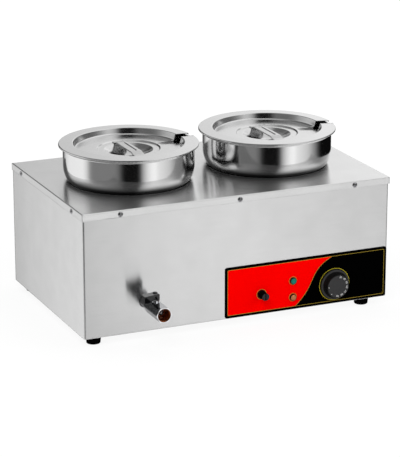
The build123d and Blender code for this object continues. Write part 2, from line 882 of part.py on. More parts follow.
def feet():
    """Rubber feet with their screws up through the base into nuts."""
    foot = turned(
        Polyline(
            (screw_radius + screw_gap, foot_sole),
            (foot_counterbore_radius, foot_sole),
            (foot_counterbore_radius, 0),
            (foot_bottom_radius, 0),
            (foot_top_radius, foot_height),
            (screw_radius + screw_gap, foot_height),
            close=True,
        )
    )
    nut_z = case_z + 2 * sheet
    nut = extrude(RegularPolygon(foot_nut_flats / 2, 6, major_radius=False), foot_nut_height)
    nut -= Cylinder(screw_radius + running_gap, 4 * foot_nut_height)
    length = nut_z + foot_nut_height + foot_screw_spare - foot_sole
    screw = Rot(180, 0, 0) * pan_screw(length)
    return {
        "rubber_feet": Compound(children=[Pos(x, y, 0) * foot for x, y in foot_places]),
        "foot_screws": Compound(children=[Pos(x, y, foot_sole) * screw for x, y in foot_places]),
        "foot_nuts": Compound(children=[Pos(x, y, nut_z) * nut for x, y in foot_places]),
    }


def pot():
    """Drawn pot: rolled rim, upright wall, a bend that seats in the opening, tapered bottom."""
    angle = radians(pot_taper_angle)
    bend_z = cover_z + pot_bend_rise
    floor_z = cover_z - pot_drop

    def skin(inset):
        """Open line from the floor's centre up to the wall: floor, corner, taper and bend."""
        bend = pot_bend_radius - inset
        corner = pot_floor_round - inset
        low_z = floor_z + inset
        bend_x = bend_centre_radius + bend * cos(angle)
        taper_z = bend_z - bend * sin(angle)
        corner_z = low_z + corner * (1 - sin(angle))
        corner_x = bend_x - (taper_z - corner_z) * tan(angle)
        floor_x = corner_x - corner * cos(angle)
        line = Line((0, low_z), (floor_x, low_z))
        line += CenterArc((floor_x, low_z + corner), corner, -90, 90 - pot_taper_angle)
        line += Line((corner_x, corner_z), (bend_x, taper_z))
        line += CenterArc((bend_centre_radius, bend_z), bend, -pot_taper_angle, pot_taper_angle)
        return line

    outer = skin(0)
    inner = skin(pot_wall)
    neck_z = rim_z - rim_height
    lip_z = neck_z + rim_width / 2
    roll_x = rim_radius - rim_round
    roll_z = rim_z - rim_round
    bore = pot_radius - pot_wall
    rim = Polyline((pot_radius, bend_z), (pot_radius, neck_z), (rim_radius, lip_z), (rim_radius, roll_z))
    rim += CenterArc((roll_x, roll_z), rim_round, 0, 90)
    rim += Polyline((roll_x, rim_z), (bore, rim_z), (bore, bend_z))
    axis = Line((0, floor_z), (0, floor_z + pot_wall))
    return turned(outer + rim + inner + axis)


def lid(notch_angle):
    """Pressed lid: lipped flange, recessed disc, sunk ledge round a finger cup, ladle notch."""
    step_radius = pot_radius - pot_wall - lid_step_clearance
    disc_z = lid_z - lid_recess
    ledge_z = disc_z - ledge_drop
    cup_z = disc_z - cup_depth
    ledge_radius = cup_radius + ledge_width
    solid = turned(
        Polyline(
            (0, cup_z),
            (cup_floor_radius, cup_z),
            (cup_radius, ledge_z),
            (ledge_radius - ledge_slope, ledge_z),
            (ledge_radius, disc_z),
            (step_radius - lid_step_run, disc_z),
            (step_radius, lid_z),
            (lid_radius, lid_z),
            (lid_radius, lid_z - lid_lip),
            (lid_radius - lid_sheet, lid_z - lid_lip),
            (lid_radius - lid_sheet, lid_z - lid_sheet),
            (step_radius + lid_sheet, lid_z - lid_sheet),
            (step_radius - lid_step_run + lid_sheet, disc_z - lid_sheet),
            (ledge_radius + lid_sheet, disc_z - lid_sheet),
            (ledge_radius - ledge_slope + lid_sheet, ledge_z - lid_sheet),
            (cup_radius + lid_sheet, ledge_z - lid_sheet),
            (cup_floor_radius + lid_sheet, cup_z - lid_sheet),
            (0, cup_z - lid_sheet),
            close=True,
        )
    )
    notch = block(
        lid_radius - notch_depth,
        2 * lid_radius,
        -notch_width / 2,
        notch_width / 2,
        cup_z,
        lid_z + lid_lip,
    )
    return solid - Rot(0, 0, notch_angle) * notch


def strap_handle():
    """Grooved strap over the finger cup, front to back, its feet flat on the ledge."""
    z = lid_z - lid_recess - ledge_drop
    ledge_foot = cup_radius + ledge_width - ledge_slope
    reach = sqrt(ledge_foot**2 - (handle_width / 2) ** 2) - seat_gap
    crown = reach - handle_foot
    top = Polyline(
        (-reach, z + handle_sheet),
        (-crown, z + handle_sheet),
        (-crown + handle_slope, z + handle_sheet + handle_arch),
        (crown - handle_slope, z + handle_sheet + handle_arch),
        (crown, z + handle_sheet),
        (reach, z + handle_sheet),
        (reach, z),
        (crown, z),
        (crown - handle_slope, z + handle_arch),
        (-crown + handle_slope, z + handle_arch),
        (-crown, z),
        (-reach, z),
        close=True,
    )
    strap = Pos(-handle_width / 2, 0, 0) * extrude(Plane.YZ * make_face(top), handle_width)
    groove_z = z + handle_sheet + handle_arch
    strap -= Pos(0, 0, groove_z) * Box(
        handle_groove_width, 2 * (crown - handle_slope), 2 * handle_groove_depth
    )
    return strap


def pots_and_lids():
    """Both pots with their lids and strap handles."""
    nodes = {}
    for side, x in pot_places.items():
        place = Pos(x, mid_y, 0)
        nodes[f"pot_{side}"] = place * pot()
        nodes[f"lid_{side}"] = place * lid(notch_angles[side])
        nodes[f"lid_handle_{side}"] = place * strap_handle()
    return nodes


def screws():
    """Pan-head screws of the cover and of the rear panel."""
    screw = pan_screw(screw_length)
    return {
        "cover_screws": Compound(children=[place * screw for place in cover_screw_places()]),
        "rear_panel_screws": Compound(children=[place * screw for place in rear_screw_places()]),
    }


parts = {
    "casing_wrap": casing_wrap(),
    "rear_panel": rear_panel(),
    "base_plate": base_plate(),
    "top_cover": top_cover(),
    "water_tank": water_tank(),
    "control_panel": control_panel(),
}
for group in (
    heating,
    drain_fittings,
    tap_valve,
    tap_lever,
    thermostat,
    capillary,
    lamps,
    fuse,
    mains_inlet,
    feet,
    pots_and_lids,
    screws,
):
    parts.update(group())

os.makedirs("parts", exist_ok=True)
for node, solid in parts.items():
    export_step(solid, f"parts/{node}.step")
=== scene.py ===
"""Looks of a two-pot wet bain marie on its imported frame: +Z up, front towards -Y, sizes in mm."""

import logging
import math
from collections.abc import Sequence
from dataclasses import dataclass
from enum import Enum

import bmesh
import bpy
import numpy as np
from mathutils import Matrix


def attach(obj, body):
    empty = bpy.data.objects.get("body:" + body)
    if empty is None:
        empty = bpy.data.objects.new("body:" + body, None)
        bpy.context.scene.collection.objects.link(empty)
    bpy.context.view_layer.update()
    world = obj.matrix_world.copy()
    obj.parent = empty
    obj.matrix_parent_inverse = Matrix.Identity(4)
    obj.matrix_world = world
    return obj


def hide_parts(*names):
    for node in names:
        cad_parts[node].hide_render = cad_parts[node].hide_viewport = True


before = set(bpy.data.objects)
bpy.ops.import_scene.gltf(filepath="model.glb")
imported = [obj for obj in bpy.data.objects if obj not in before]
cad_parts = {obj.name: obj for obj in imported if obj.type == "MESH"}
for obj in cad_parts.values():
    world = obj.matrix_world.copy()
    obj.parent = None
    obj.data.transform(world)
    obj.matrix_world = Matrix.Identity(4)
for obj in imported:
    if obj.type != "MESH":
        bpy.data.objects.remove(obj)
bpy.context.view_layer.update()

LOG = logging.getLogger("bain_marie")
RGB = tuple[float, float, float]
XYZ = tuple[float, float, float]
Pair = tuple[float, float]
Counts = tuple[int, int]
Line = tuple[XYZ, ...]
Socket = bpy.types.NodeSocket

MM = 0.001  # metres in a millimetre
TURN = 2.0 * math.pi
WHITE = (1.0, 1.0, 1.0, 1.0)
BLACK = (0.0, 0.0, 0.0, 1.0)
WELD_STEPS = 2000.0  # steps a millimetre that points are welded to
ARC_STEP = 6.0  # degrees between the points of a rounded corner
ARC_FEWEST = 4  # spans that a rounded corner has at least
ARC_RUN = (0.25, 0.2)  # straight run past a rounded corner, and the most as a share of its reach
NOISE_RANGE = (0.3, 0.7)  # where noise mostly lies
BUMP_STRENGTH = 0.8
STROKE_ACROSS = (0.0, 0.05, 1.0)  # upright on walls, to the back on level faces

# Surfaces


class Facing(Enum):
    """Way that a shape made about +Z looks; the value gives where its X, Y and Z axes go."""

    UP = ((1, 0, 0), (0, 1, 0), (0, 0, 1))
    FRONT = ((1, 0, 0), (0, 0, 1), (0, -1, 0))
    BACK = ((-1, 0, 0), (0, 0, 1), (0, 1, 0))
    LEFT = ((0, -1, 0), (0, 0, 1), (-1, 0, 0))
    RIGHT = ((0, 1, 0), (0, 0, 1), (1, 0, 0))


@dataclass
class Skin:
    """A worked-out surface.

    Attributes:
        points: its points in millimetres.
        faces: four corners of each face; one with three corners repeats its last.
    """

    points: np.ndarray
    faces: np.ndarray

    @classmethod
    def grid(
        cls, points: np.ndarray, closed_rows: bool = False, closed_cols: bool = False
    ) -> "Skin":
        """Span faces over a grid: each face joins two neighbours in two neighbouring rows.

        Args:
            points: array of rows by columns by three.
            closed_rows: whether the last row joins the first.
            closed_cols: whether the last column joins the first.

        Returns:
            The surface.
        """
        rows, cols = points.shape[:2]
        i = np.arange(rows if closed_rows else rows - 1)[:, None]
        j = np.arange(cols if closed_cols else cols - 1)[None, :]
        i_next = (i + 1) % rows
        j_next = (j + 1) % cols
        corners = (i * cols + j, i * cols + j_next, i_next * cols + j_next, i_next * cols + j)
        faces = np.stack(np.broadcast_arrays(*corners), axis=-1).reshape(-1, 4)
        return cls(points.reshape(-1, 3), faces)

    @classmethod
    def joined(cls, skins: Sequence["Skin"]) -> "Skin":
        """Gather several surfaces in one, each keeping its own faces.

        Args:
            skins: the surfaces.

        Returns:
            One surface with all their points and faces.
        """
        starts = np.cumsum([0] + [len(skin.points) for skin in skins[:-1]])
        faces = [skin.faces + start for skin, start in zip(skins, starts)]
        return cls(np.concatenate([skin.points for skin in skins]), np.concatenate(faces))

    def placed(self, spot: XYZ, facing: Facing = Facing.UP) -> "Skin":
        """Turn the surface to a facing and carry its origin to a spot.

        Args:
            spot: where the origin goes.
            facing: way that its +Z looks.

        Returns:
            The moved surface.
        """
        return Skin(self.points @ np.array(facing.value, float) + np.array(spot), self.faces)

    def mesh(self, name: str, outward: bool) -> bpy.types.Mesh:
        """Weld points that coincide and make a mesh in metres.

        Args:
            name: the mesh's name.
            outward: whether to turn all faces outwards, for a closed shell.

        Returns:
            The mesh.
        """
        keys = np.round(self.points * WELD_STEPS).astype(np.int64)
        _, first, index = np.unique(keys, axis=0, return_index=True, return_inverse=True)
        faces = index.reshape(-1)[self.faces]
        repeated = faces == np.roll(faces, 1, axis=1)
        count = repeated.sum(axis=1)
        fours = faces[count == 0]
        threes = faces[count == 1][~repeated[count == 1]].reshape(-1, 3)
        mesh = bpy.data.meshes.new(name)
        points = (self.points[first] * MM).tolist()
        mesh.from_pydata(points, [], fours.tolist() + threes.tolist())
        mesh.validate()
        if outward:
            work = bmesh.new()
            work.from_mesh(mesh)
            bmesh.ops.recalc_face_normals(work, faces=work.faces)
            work.to_mesh(mesh)
            work.free()
        return mesh


def smooth(value: np.ndarray, low: float | np.ndarray, high: float | np.ndarray) -> np.ndarray:
    """Ease from 0 at low to 1 at high: t times t times (3 less 2 t), t being the share of the way.

    Args:
        value: where to read the step.
        low: start of the step.
        high: end of the step.

    Returns:
        The eased step.
    """
    t = np.clip((value - low) / (high - low), 0.0, 1.0)
    return t * t * (3.0 - 2.0 * t)


def corner_arc(
    before: np.ndarray, here: np.ndarray, after: np.ndarray, radius: float
) -> np.ndarray:
    """Round one corner of a line with a tangent arc, with a short straight run at each end.

    The arc's centre lies on the corner's halving line, a radius over the sine of the half angle
    away.

    Args:
        before: the corner before.
        here: the corner.
        after: the corner after.
        radius: the arc's radius, 0 for a sharp corner.

    Returns:
        Points in order along the rounded corner.
    """
    if radius == 0.0:
        return here[None, :]
    u = (before - here) / np.linalg.norm(before - here)
    v = (after - here) / np.linalg.norm(after - here)
    half = 0.5 * math.acos(float(np.clip(u @ v, -1.0, 1.0)))
    reach = radius / math.tan(half)
    centre = here + (u + v) / np.linalg.norm(u + v) * radius / math.sin(half)
    sweep = math.pi - 2.0 * half
    spans = max(ARC_FEWEST, int(math.degrees(sweep) / ARC_STEP))
    share = np.linspace(0.0, 1.0, spans + 1)[:, None]
    start = here + u * reach - centre
    end = here + v * reach - centre
    swung = np.sin((1.0 - share) * sweep) * start + np.sin(share * sweep) * end
    arc = centre + swung / math.sin(sweep)
    run = min(ARC_RUN[0], ARC_RUN[1] * reach)
    return np.concatenate([[here + u * (reach + run)], arc, [here + v * (reach + run)]])


def rounded_line(corners: Sequence[XYZ], closed: bool = False) -> np.ndarray:
    """Line through corners, each given as two places and a rounding radius.

    Args:
        corners: the corners in order.
        closed: whether the line returns to its start.

    Returns:
        Array of points by two.
    """
    spots = np.array(corners, float)
    if closed:
        around = np.concatenate([spots[-1:], spots, spots[:1]])
        ends = [np.empty((0, 2)), np.empty((0, 2))]
    else:
        around = spots
        ends = [spots[:1, :2], spots[-1:, :2]]
    trios = zip(around[:-2], around[1:-1], around[2:])
    arcs = [corner_arc(a[:2], b[:2], c[:2], float(b[2])) for a, b, c in trios]
    return np.concatenate([ends[0], *arcs, ends[1]])


def finer(profile: np.ndarray, times: int) -> np.ndarray:
    """Spread a profile over a number of times as many points, even in the count of its own.

    Args:
        profile: points by two.
        times: how many times as many.

    Returns:
        The finer profile.
    """
    rows = np.linspace(0.0, 1.0, times * len(profile))
    place = np.linspace(0.0, 1.0, len(profile))
    return np.stack([np.interp(rows, place, column) for column in profile.T], axis=-1)


def round_angles(columns: int) -> np.ndarray:
    """Angles of columns spaced evenly round a turn."""
    return np.arange(columns) * TURN / columns


def polar(
    radius: np.ndarray | float, angle: np.ndarray, height: np.ndarray | float
) -> np.ndarray:
    """Points about Z: the radius times the cosine and the sine of the angle, and the height.

    Args:
        radius: how far out.
        angle: way round from +X.
        height: along Z.

    Returns:
        Array of the shape that the three share, by three.
    """
    spread = np.broadcast_arrays(radius * np.cos(angle), radius * np.sin(angle), height)
    return np.stack(spread, axis=-1)


def turned(
    profile: np.ndarray,
    columns: int = 96,
    closed: bool = False,
    relief: np.ndarray | float = 0.0,
) -> Skin:
    """Carry a profile of radius and height round Z; a relief adds to the radius row by column.

    Args:
        profile: points by two, radius and height.
        columns: round the turn.
        closed: whether the profile returns to its start.
        relief: rows by columns of change in radius.

    Returns:
        The surface of revolution.
    """
    points = polar(profile[:, :1] + relief, round_angles(columns), profile[:, 1:])
    return Skin.grid(points, closed_rows=closed, closed_cols=True)


def unit_shell(across: int, deep: int, high: int) -> Skin:
    """Six grids that close the unit cube, to be shaped by a formula of the three shares.

    Args:
        across: steps along X.
        deep: steps along Y.
        high: steps along Z.

    Returns:
        The cube's surface, from 0 to 1 along each axis.
    """
    shares = [np.linspace(0.0, 1.0, count + 1) for count in (across, deep, high)]
    skins = []
    for axis, other, third in ((0, 1, 2), (1, 2, 0), (2, 0, 1)):
        a, b = np.meshgrid(shares[other], shares[third], indexing="ij")
        for level in (0.0, 1.0):
            points = np.empty(a.shape + (3,))
            points[..., axis] = level
            points[..., other] = a
            points[..., third] = b
            skins.append(Skin.grid(points))
    return Skin.joined(skins)


def ribbon(path: np.ndarray, width: float, closed: bool = False) -> Skin:
    """Flat strip along a path in X and Y: the path moved half a width either way of its normal.

    Args:
        path: points by two.
        width: the strip's width.
        closed: whether the path returns to its start.

    Returns:
        The strip, looking along +Z.
    """
    if closed:
        along = np.roll(path, -1, axis=0) - np.roll(path, 1, axis=0)
    else:
        along = np.gradient(path, axis=0)
    along /= np.linalg.norm(along, axis=1, keepdims=True)
    normal = np.stack([-along[:, 1], along[:, 0]], axis=-1)
    sides = np.stack([path + normal * width / 2, path - normal * width / 2], axis=1)
    flat = np.concatenate([sides, np.zeros(sides.shape[:2] + (1,))], axis=-1)
    return Skin.grid(flat, closed_rows=closed)


def numeral(words: str, size: float, depth: float) -> Skin:
    """Raised figures about the origin, read along +X with +Y up.

    Args:
        words: the figures.
        size: their height.
        depth: how far they stand up.

    Returns:
        Their surface.
    """
    curve = bpy.data.curves.new("numeral", "FONT")
    curve.body = words
    curve.size = size
    curve.extrude = depth / 2
    curve.align_x = "CENTER"
    curve.align_y = "CENTER"
    holder = bpy.data.objects.new("numeral", curve)
    bpy.context.scene.collection.objects.link(holder)
    bpy.context.view_layer.update()
    shown = holder.evaluated_get(bpy.context.evaluated_depsgraph_get())
    mesh = bpy.data.meshes.new_from_object(shown)
    mesh.calc_loop_triangles()
    points = np.empty(len(mesh.vertices) * 3)
    corners = np.empty(len(mesh.loop_triangles) * 3, np.int32)
    mesh.vertices.foreach_get("co", points)
    mesh.loop_triangles.foreach_get("vertices", corners)
    threes = corners.reshape(-1, 3)
    bpy.data.meshes.remove(mesh)
    bpy.data.objects.remove(holder)
    bpy.data.curves.remove(curve)
    return Skin(points.reshape(-1, 3), np.column_stack([threes, threes[:, 2]]))


# Finishes


class Board:
    """A node tree with short ways to add nodes and join them."""

    def __init__(self, tree: bpy.types.NodeTree) -> None:
        """Keep the tree to work on."""
        self.tree = tree

    def feed(self, socket: Socket, value: object) -> None:
        """Give an input a value, or join it to an output.

        Args:
            socket: the input.
            value: a number, a colour or another node's output.
        """
        if isinstance(value, Socket):
            self.tree.links.new(value, socket)
        else:
            socket.default_value = value

    def add(self, kind: str, inputs: dict | None = None, **settings: object) -> bpy.types.Node:
        """Add a node.

        Args:
            kind: its type.
            inputs: what its inputs get, by name or number.
            settings: its own properties.

        Returns:
            The node.
        """
        node = self.tree.nodes.new(kind)
        for key, value in settings.items():
            setattr(node, key, value)
        for key, value in (inputs or {}).items():
            self.feed(node.inputs[key], value)
        return node

    def math(self, operation: str, a: object, b: object = 0.0, c: object = 0.0) -> Socket:
        """Work out one sum from up to three numbers."""
        return self.add("ShaderNodeMath", {0: a, 1: b, 2: c}, operation=operation).outputs[0]

    def vector(self, operation: str, a: object, b: object = (0.0, 0.0, 0.0)) -> Socket:
        """Work out a vector from one or two vectors."""
        return self.add("ShaderNodeVectorMath", {0: a, 1: b}, operation=operation).outputs[0]

    def measure(self, operation: str, a: object, b: object = (0.0, 0.0, 0.0)) -> Socket:
        """Work out a number from one or two vectors."""
        node = self.add("ShaderNodeVectorMath", {0: a, 1: b}, operation=operation)
        return node.outputs["Value"]

    def rise(self, vector: Socket) -> Socket:
        """Take a vector's Z."""
        return self.add("ShaderNodeSeparateXYZ", {0: vector}).outputs[2]

    def spot(self) -> Socket:
        """Place on the piece, in its own coordinates in metres."""
        return self.add("ShaderNodeTexCoord").outputs["Object"]

    def normal(self) -> Socket:
        """Way that the surface looks, in the piece's own coordinates."""
        return self.add("ShaderNodeTexCoord").outputs["Normal"]

    def noise(self, place: object, detail: float = 2.0) -> Socket:
        """Cloudy noise read at a place, about one cloud a unit."""
        inputs = {"Vector": place, "Scale": 1.0, "Detail": detail}
        return self.add("ShaderNodeTexNoise", inputs).outputs[0]

    def span(self, value: object, source: Pair, to: Pair, kind: str = "LINEAR") -> Socket:
        """Carry a number from one range to another, held at the ends.

        Args:
            value: the number.
            source: range that it comes in.
            to: range that it goes out in.
            kind: way from end to end.

        Returns:
            The carried number.
        """
        ends = {"From Min": source[0], "From Max": source[1], "To Min": to[0], "To Max": to[1]}
        inputs = {"Value": value, **ends}
        return self.add("ShaderNodeMapRange", inputs, interpolation_type=kind).outputs[0]

    def bands(self, value: object, stops: Sequence[tuple[float, RGB]]) -> Socket:
        """Colour read from stops along 0 to 1.

        Args:
            value: where to read.
            stops: place and colour of each stop, in order.

        Returns:
            The colour.
        """
        ramp = self.add("ShaderNodeValToRGB", {0: value})
        elements = ramp.color_ramp.elements
        for _ in range(len(stops) - 2):
            elements.new(0.5)
        for element, (place, colour) in zip(elements, stops):
            element.position = place
            element.color = (*colour, 1.0)
        return ramp.outputs[0]

    def blend(self, share: object, a: object, b: object) -> Socket:
        """Mix two colours by a share."""
        return self.add("ShaderNodeMix", {0: share, 6: a, 7: b}, data_type="RGBA").outputs[2]

    def either(self, share: object, a: Socket, b: Socket) -> Socket:
        """Mix two shaders by a share."""
        return self.add("ShaderNodeMixShader", {0: share, 1: a, 2: b}).outputs[0]

    def glow(self, kind: str, colour: object, strength: float) -> Socket:
        """Shader of a kind that gives off light."""
        return self.add(kind, {"Color": colour, "Strength": strength}).outputs[0]

    def rays(self) -> tuple[Socket, Socket]:
        """Tell where a ray comes from.

        Returns:
            Whether from the camera, and whether from gloss or through glass.
        """
        path = self.add("ShaderNodeLightPath").outputs
        gloss = self.math("MAXIMUM", path["Is Glossy Ray"], path["Is Transmission Ray"])
        return path["Is Camera Ray"], gloss


@dataclass(frozen=True)
class Finish:
    """A finish: colour, gloss and the fine pattern that both follow.

    Attributes:
        name: the material's name.
        colour: its mean colour.
        roughness: its mean roughness.
        metallic: 1 for metal.
        grain: pattern strokes a metre along X, Y and Z.
        shade: share by which the colour varies.
        polish: amount by which the roughness varies.
        relief: depth of the pattern in millimetres.
        clouds: slow blotches a metre.
        gloss: strength of the surface reflection.
        drag: how far the reflection is drawn out across the strokes.
    """

    name: str
    colour: RGB
    roughness: float
    metallic: float = 0.0
    grain: XYZ = (900.0, 900.0, 900.0)
    shade: float = 0.05
    polish: float = 0.05
    relief: float = 0.01
    clouds: float = 14.0
    gloss: float = 0.5
    drag: float = 0.0

    def pattern(self, board: Board) -> Socket:
        """Coordinates of the fine pattern: the place on the piece times the grain."""
        return board.vector("MULTIPLY", board.spot(), self.grain)

    def across(self, board: Board) -> Socket:
        """Direction across the strokes: upright on walls, to the back on level faces."""
        return board.add("ShaderNodeCombineXYZ", dict(enumerate(STROKE_ACROSS))).outputs[0]

    def ground(self, board: Board) -> Socket | None:
        """Normal that the fine relief lies on; none but the surface's own here."""
        return None

    def tint(self, board: Board, colour: Socket) -> Socket:
        """Change the colour from place to place; nothing here."""
        return colour

    def extra(self, board: Board) -> dict[str, object]:
        """Inputs of the shader that only some finishes have: here those of a drawn-out gloss."""
        return {"Anisotropic": self.drag, "Tangent": self.across(board)} if self.drag else {}

    def material(self) -> bpy.types.Material:
        """Make the material once: noise on the pattern varies the colour, roughness and bump.

        Returns:
            The material.
        """
        found = bpy.data.materials.get(self.name)
        if found:
            return found
        made = bpy.data.materials.new(self.name)
        made.use_nodes = True
        board = Board(made.node_tree)
        fine = board.noise(self.pattern(board), detail=3.0)
        slow = board.noise(board.vector("MULTIPLY", board.spot(), (self.clouds,) * 3))
        tone = board.math("MULTIPLY_ADD", fine, 0.5, board.math("MULTIPLY", slow, 0.5))
        low = tuple(c * (1.0 - self.shade) for c in self.colour)
        high = tuple(min(1.0, c * (1.0 + self.shade)) for c in self.colour)
        untinted = board.bands(tone, tuple(zip(NOISE_RANGE, (low, high))))
        rough = (self.roughness - self.polish, self.roughness + self.polish)
        bump = {"Height": fine, "Strength": BUMP_STRENGTH, "Distance": self.relief * MM}
        ground = self.ground(board)
        if ground:
            bump["Normal"] = ground
        inputs = {
            "Base Color": self.tint(board, untinted),
            "Roughness": board.span(tone, NOISE_RANGE, rough),
            "Metallic": self.metallic,
            "Specular IOR Level": self.gloss,
            "Normal": board.add("ShaderNodeBump", bump).outputs[0],
            **self.extra(board),
        }
        shader = made.node_tree.nodes["Principled BSDF"]
        for key, value in inputs.items():
            board.feed(shader.inputs[key], value)
        return made


@dataclass(frozen=True)
class Metal(Finish):
    """Plated or bare metal."""

    metallic: float = 1.0
    shade: float = 0.12
    polish: float = 0.08
    relief: float = 0.006
    clouds: float = 60.0


@dataclass(frozen=True)
class Sheet(Metal):
    """Brushed sheet that bulges a little and has rounded bends.

    Attributes:
        bow: fall of its face over the squared distance from the casing's middle.
        bend: radius in millimetres to which its bends look rounded.
        middle: the casing's middle in metres.
        growth: how much the fall grows with the squared distance.
    """

    polish: float = 0.005
    relief: float = 0.0002
    bow: float = 0.0
    bend: float = 1.0
    middle: XYZ = (0.0, 0.027, 0.12)
    growth: float = 2.2

    def ground(self, board: Board) -> Socket:
        """Tilt the face as on a folded sheet that bulges.

        It falls with the square q of the way from the middle, times (1 and the growth times q).

        Args:
            board: the tree to work on.

        Returns:
            The tilted normal.
        """
        far = board.measure("DISTANCE", board.spot(), self.middle)
        square = board.math("MULTIPLY", far, far)
        growth = board.math("MULTIPLY_ADD", square, self.growth, 1.0)
        fall = board.math("MULTIPLY", board.math("MULTIPLY", square, growth), -self.bow)
        bends = board.add("ShaderNodeBevel", {"Radius": self.bend * MM}, samples=8).outputs[0]
        bump = {"Height": fall, "Strength": 1.0, "Distance": 1.0, "Normal": bends}
        return board.add("ShaderNodeBump", bump).outputs[0]


@dataclass(frozen=True)
class Tarnish:
    """A ring of painted shade on the outside of a pot, standing in for the shade where it meets the
    cover.

    Attributes:
        start: Z in millimetres where it starts.
        darkest: Z where the painted shade is darkest.
        end: Z where it ends.
        left: share of the colour left where the painted shade is darkest.
        inside: slant towards the axis past which a face is inside and gets no painted shade.
    """

    start: float
    dullest: float
    end: float
    left: float
    inside: float = -0.05

    def share(self, board: Board, facing: Socket) -> Socket:
        """Work out the colour's share left under the painted shade: it eases down to the darkest Z
        and up again.

        Args:
            board: the tree to work on.
            facing: how far the face looks away from the axis, -1 to 1.

        Returns:
            The share.
        """
        height = board.rise(board.spot())
        share = board.math("LESS_THAN", facing, self.inside)
        for untinted in (self.start, self.end):
            places, tones = zip(*sorted([(untinted * MM, 1.0), (self.dullest * MM, self.left)]))
            fade = board.span(height, places, tones, "SMOOTHSTEP")
            share = board.math("MAXIMUM", share, fade)
        return share


@dataclass(frozen=True)
class Spun(Metal):
    """Metal turned about an upright axis: the strokes run round it.

    Attributes:
        axis: X and Y of the axis in millimetres.
        upright: whether the strokes follow height, as on a wall, and not radius.
        tarnish: its ring of painted shade, if it has one.
    """

    grain: XYZ = (1.5, 1.5, 1500.0)
    shade: float = 0.02
    polish: float = 0.02
    relief: float = 0.0006
    axis: Pair = (0.0, 0.0)
    upright: bool = False
    tarnish: Tarnish | None = None

    def outward(self, board: Board) -> tuple[Socket, Socket, Socket]:
        """Find the level arm from the axis.

        Args:
            board: the tree to work on.

        Returns:
            Its direction, its length and the height.
        """
        centre = (self.axis[0] * MM, self.axis[1] * MM, 0.0)
        arm = board.vector("SUBTRACT", board.spot(), centre)
        flat = board.vector("MULTIPLY", arm, (1.0, 1.0, 0.0))
        return board.vector("NORMALIZE", flat), board.measure("LENGTH", flat), board.rise(arm)

    def pattern(self, board: Board) -> Socket:
        """Coordinates of the strokes: slow along the direction round the axis, fast across.

        Args:
            board: the tree to work on.

        Returns:
            The coordinates.
        """
        unit, length, height = self.outward(board)
        slow = board.vector("MULTIPLY", unit, (self.grain[0], self.grain[1], 0.0))
        fast = board.math("MULTIPLY", height if self.upright else length, self.grain[2])
        lift = board.add("ShaderNodeCombineXYZ", {2: fast}).outputs[0]
        return board.vector("ADD", slow, lift)

    def across(self, board: Board) -> Socket:
        """Direction across the strokes: straight out from the axis."""
        return self.outward(board)[0]

    def tint(self, board: Board, colour: Socket) -> Socket:
        """Darken the colour with painted shade where the contact shade ring lies.

        Args:
            board: the tree to work on.
            colour: the colour before the painted shade.

        Returns:
            The colour with its painted shade.
        """
        if self.tarnish is None:
            return colour
        facing = board.measure("DOT_PRODUCT", board.normal(), self.outward(board)[0])
        # painted shade: the colour goes towards black as the share falls
        return board.blend(self.tarnish.share(board, facing), BLACK, colour)


@dataclass(frozen=True)
class Moulding(Finish):
    """Moulded plastic or rubber, with a fine even grain."""

    grain: XYZ = (1500.0, 1500.0, 1500.0)
    shade: float = 0.2
    polish: float = 0.06
    clouds: float = 60.0
    gloss: float = 0.1


@dataclass(frozen=True)
class WornMoulding(Moulding):
    """A moulding with a painted sheen: its faces that look up are painted lighter.

    Attributes:
        worn: painted sheen colour of the faces that look up.
        slant: Z of the normal where the painted sheen starts and where it is full.
    """

    worn: RGB = (0.1, 0.1, 0.1)
    slant: Pair = (0.7, 0.95)

    def tint(self, board: Board, colour: Socket) -> Socket:
        """Paint the sheen on, lighter as the face turns up."""
        share = board.span(board.rise(board.normal()), self.slant, (0.0, 1.0))
        # painted sheen: upward faces blend to a lighter grey
        return board.blend(share, colour, (*self.worn, 1.0))


@dataclass(frozen=True)
class Ink(Finish):
    """Flat print."""

    grain: XYZ = (800.0, 800.0, 800.0)
    shade: float = 0.06
    polish: float = 0.06
    relief: float = 0.004
    clouds: float = 30.0
    gloss: float = 0.1


@dataclass(frozen=True)
class Clear(Finish):
    """Coloured clear plastic or glass.

    Attributes:
        clear: share of the light that passes through.
        bending: how strongly it bends light.
    """

    grain: XYZ = (500.0, 500.0, 500.0)
    polish: float = 0.04
    relief: float = 0.006
    gloss: float = 0.12
    clear: float = 0.04
    bending: float = 1.49

    def extra(self, board: Board) -> dict[str, object]:
        """Let light through."""
        return {"Transmission Weight": self.clear, "IOR": self.bending}


BRUSHED = Sheet(
    "brushed_sheet", (0.79, 0.79, 0.79), 0.20, grain=(14.0, 14.0, 2200.0), shade=0.055,
    clouds=22.0, drag=0.95, bow=0.09, bend=2.6,
)
BRUSHED_TOP = Sheet(
    "brushed_cover", (0.80, 0.80, 0.80), 0.22, metallic=0.97, grain=(14.0, 2200.0, 2200.0),
    shade=0.06, clouds=20.0, drag=0.9, bow=0.012, bend=2.0,
)
TANK_STEEL = Metal(
    "dull_tank_sheet", (0.60, 0.60, 0.59), 0.36, metallic=0.5, grain=(40.0, 40.0, 900.0),
    shade=0.08, relief=0.004, clouds=9.0,
)
PLATED = Metal(
    "dull_plate", (0.20, 0.20, 0.205), 0.26, shade=0.05, polish=0.05, relief=0.002, clouds=40.0
)
SCREW = Metal(
    "dark_plate", (0.42, 0.42, 0.43), 0.08, shade=0.10, polish=0.06, relief=0.003, clouds=90.0
)
CHROME = Metal(
    "chrome_plate", (0.80, 0.81, 0.83), 0.06, grain=(500.0,) * 3, shade=0.03, polish=0.03,
    relief=0.0015,
)
ZINC = Metal("zinc_plate", (0.55, 0.56, 0.57), 0.34, grain=(400.0,) * 3)
SHEATH = Metal(
    "heater_sheath", (0.34, 0.33, 0.32), 0.42, grain=(60.0, 700.0, 700.0), shade=0.18,
    relief=0.01, clouds=25.0,
)
BRASS = Metal(
    "turned_brass", (0.50, 0.29, 0.12), 0.28, grain=(700.0, 90.0, 700.0), shade=0.10, clouds=70.0
)
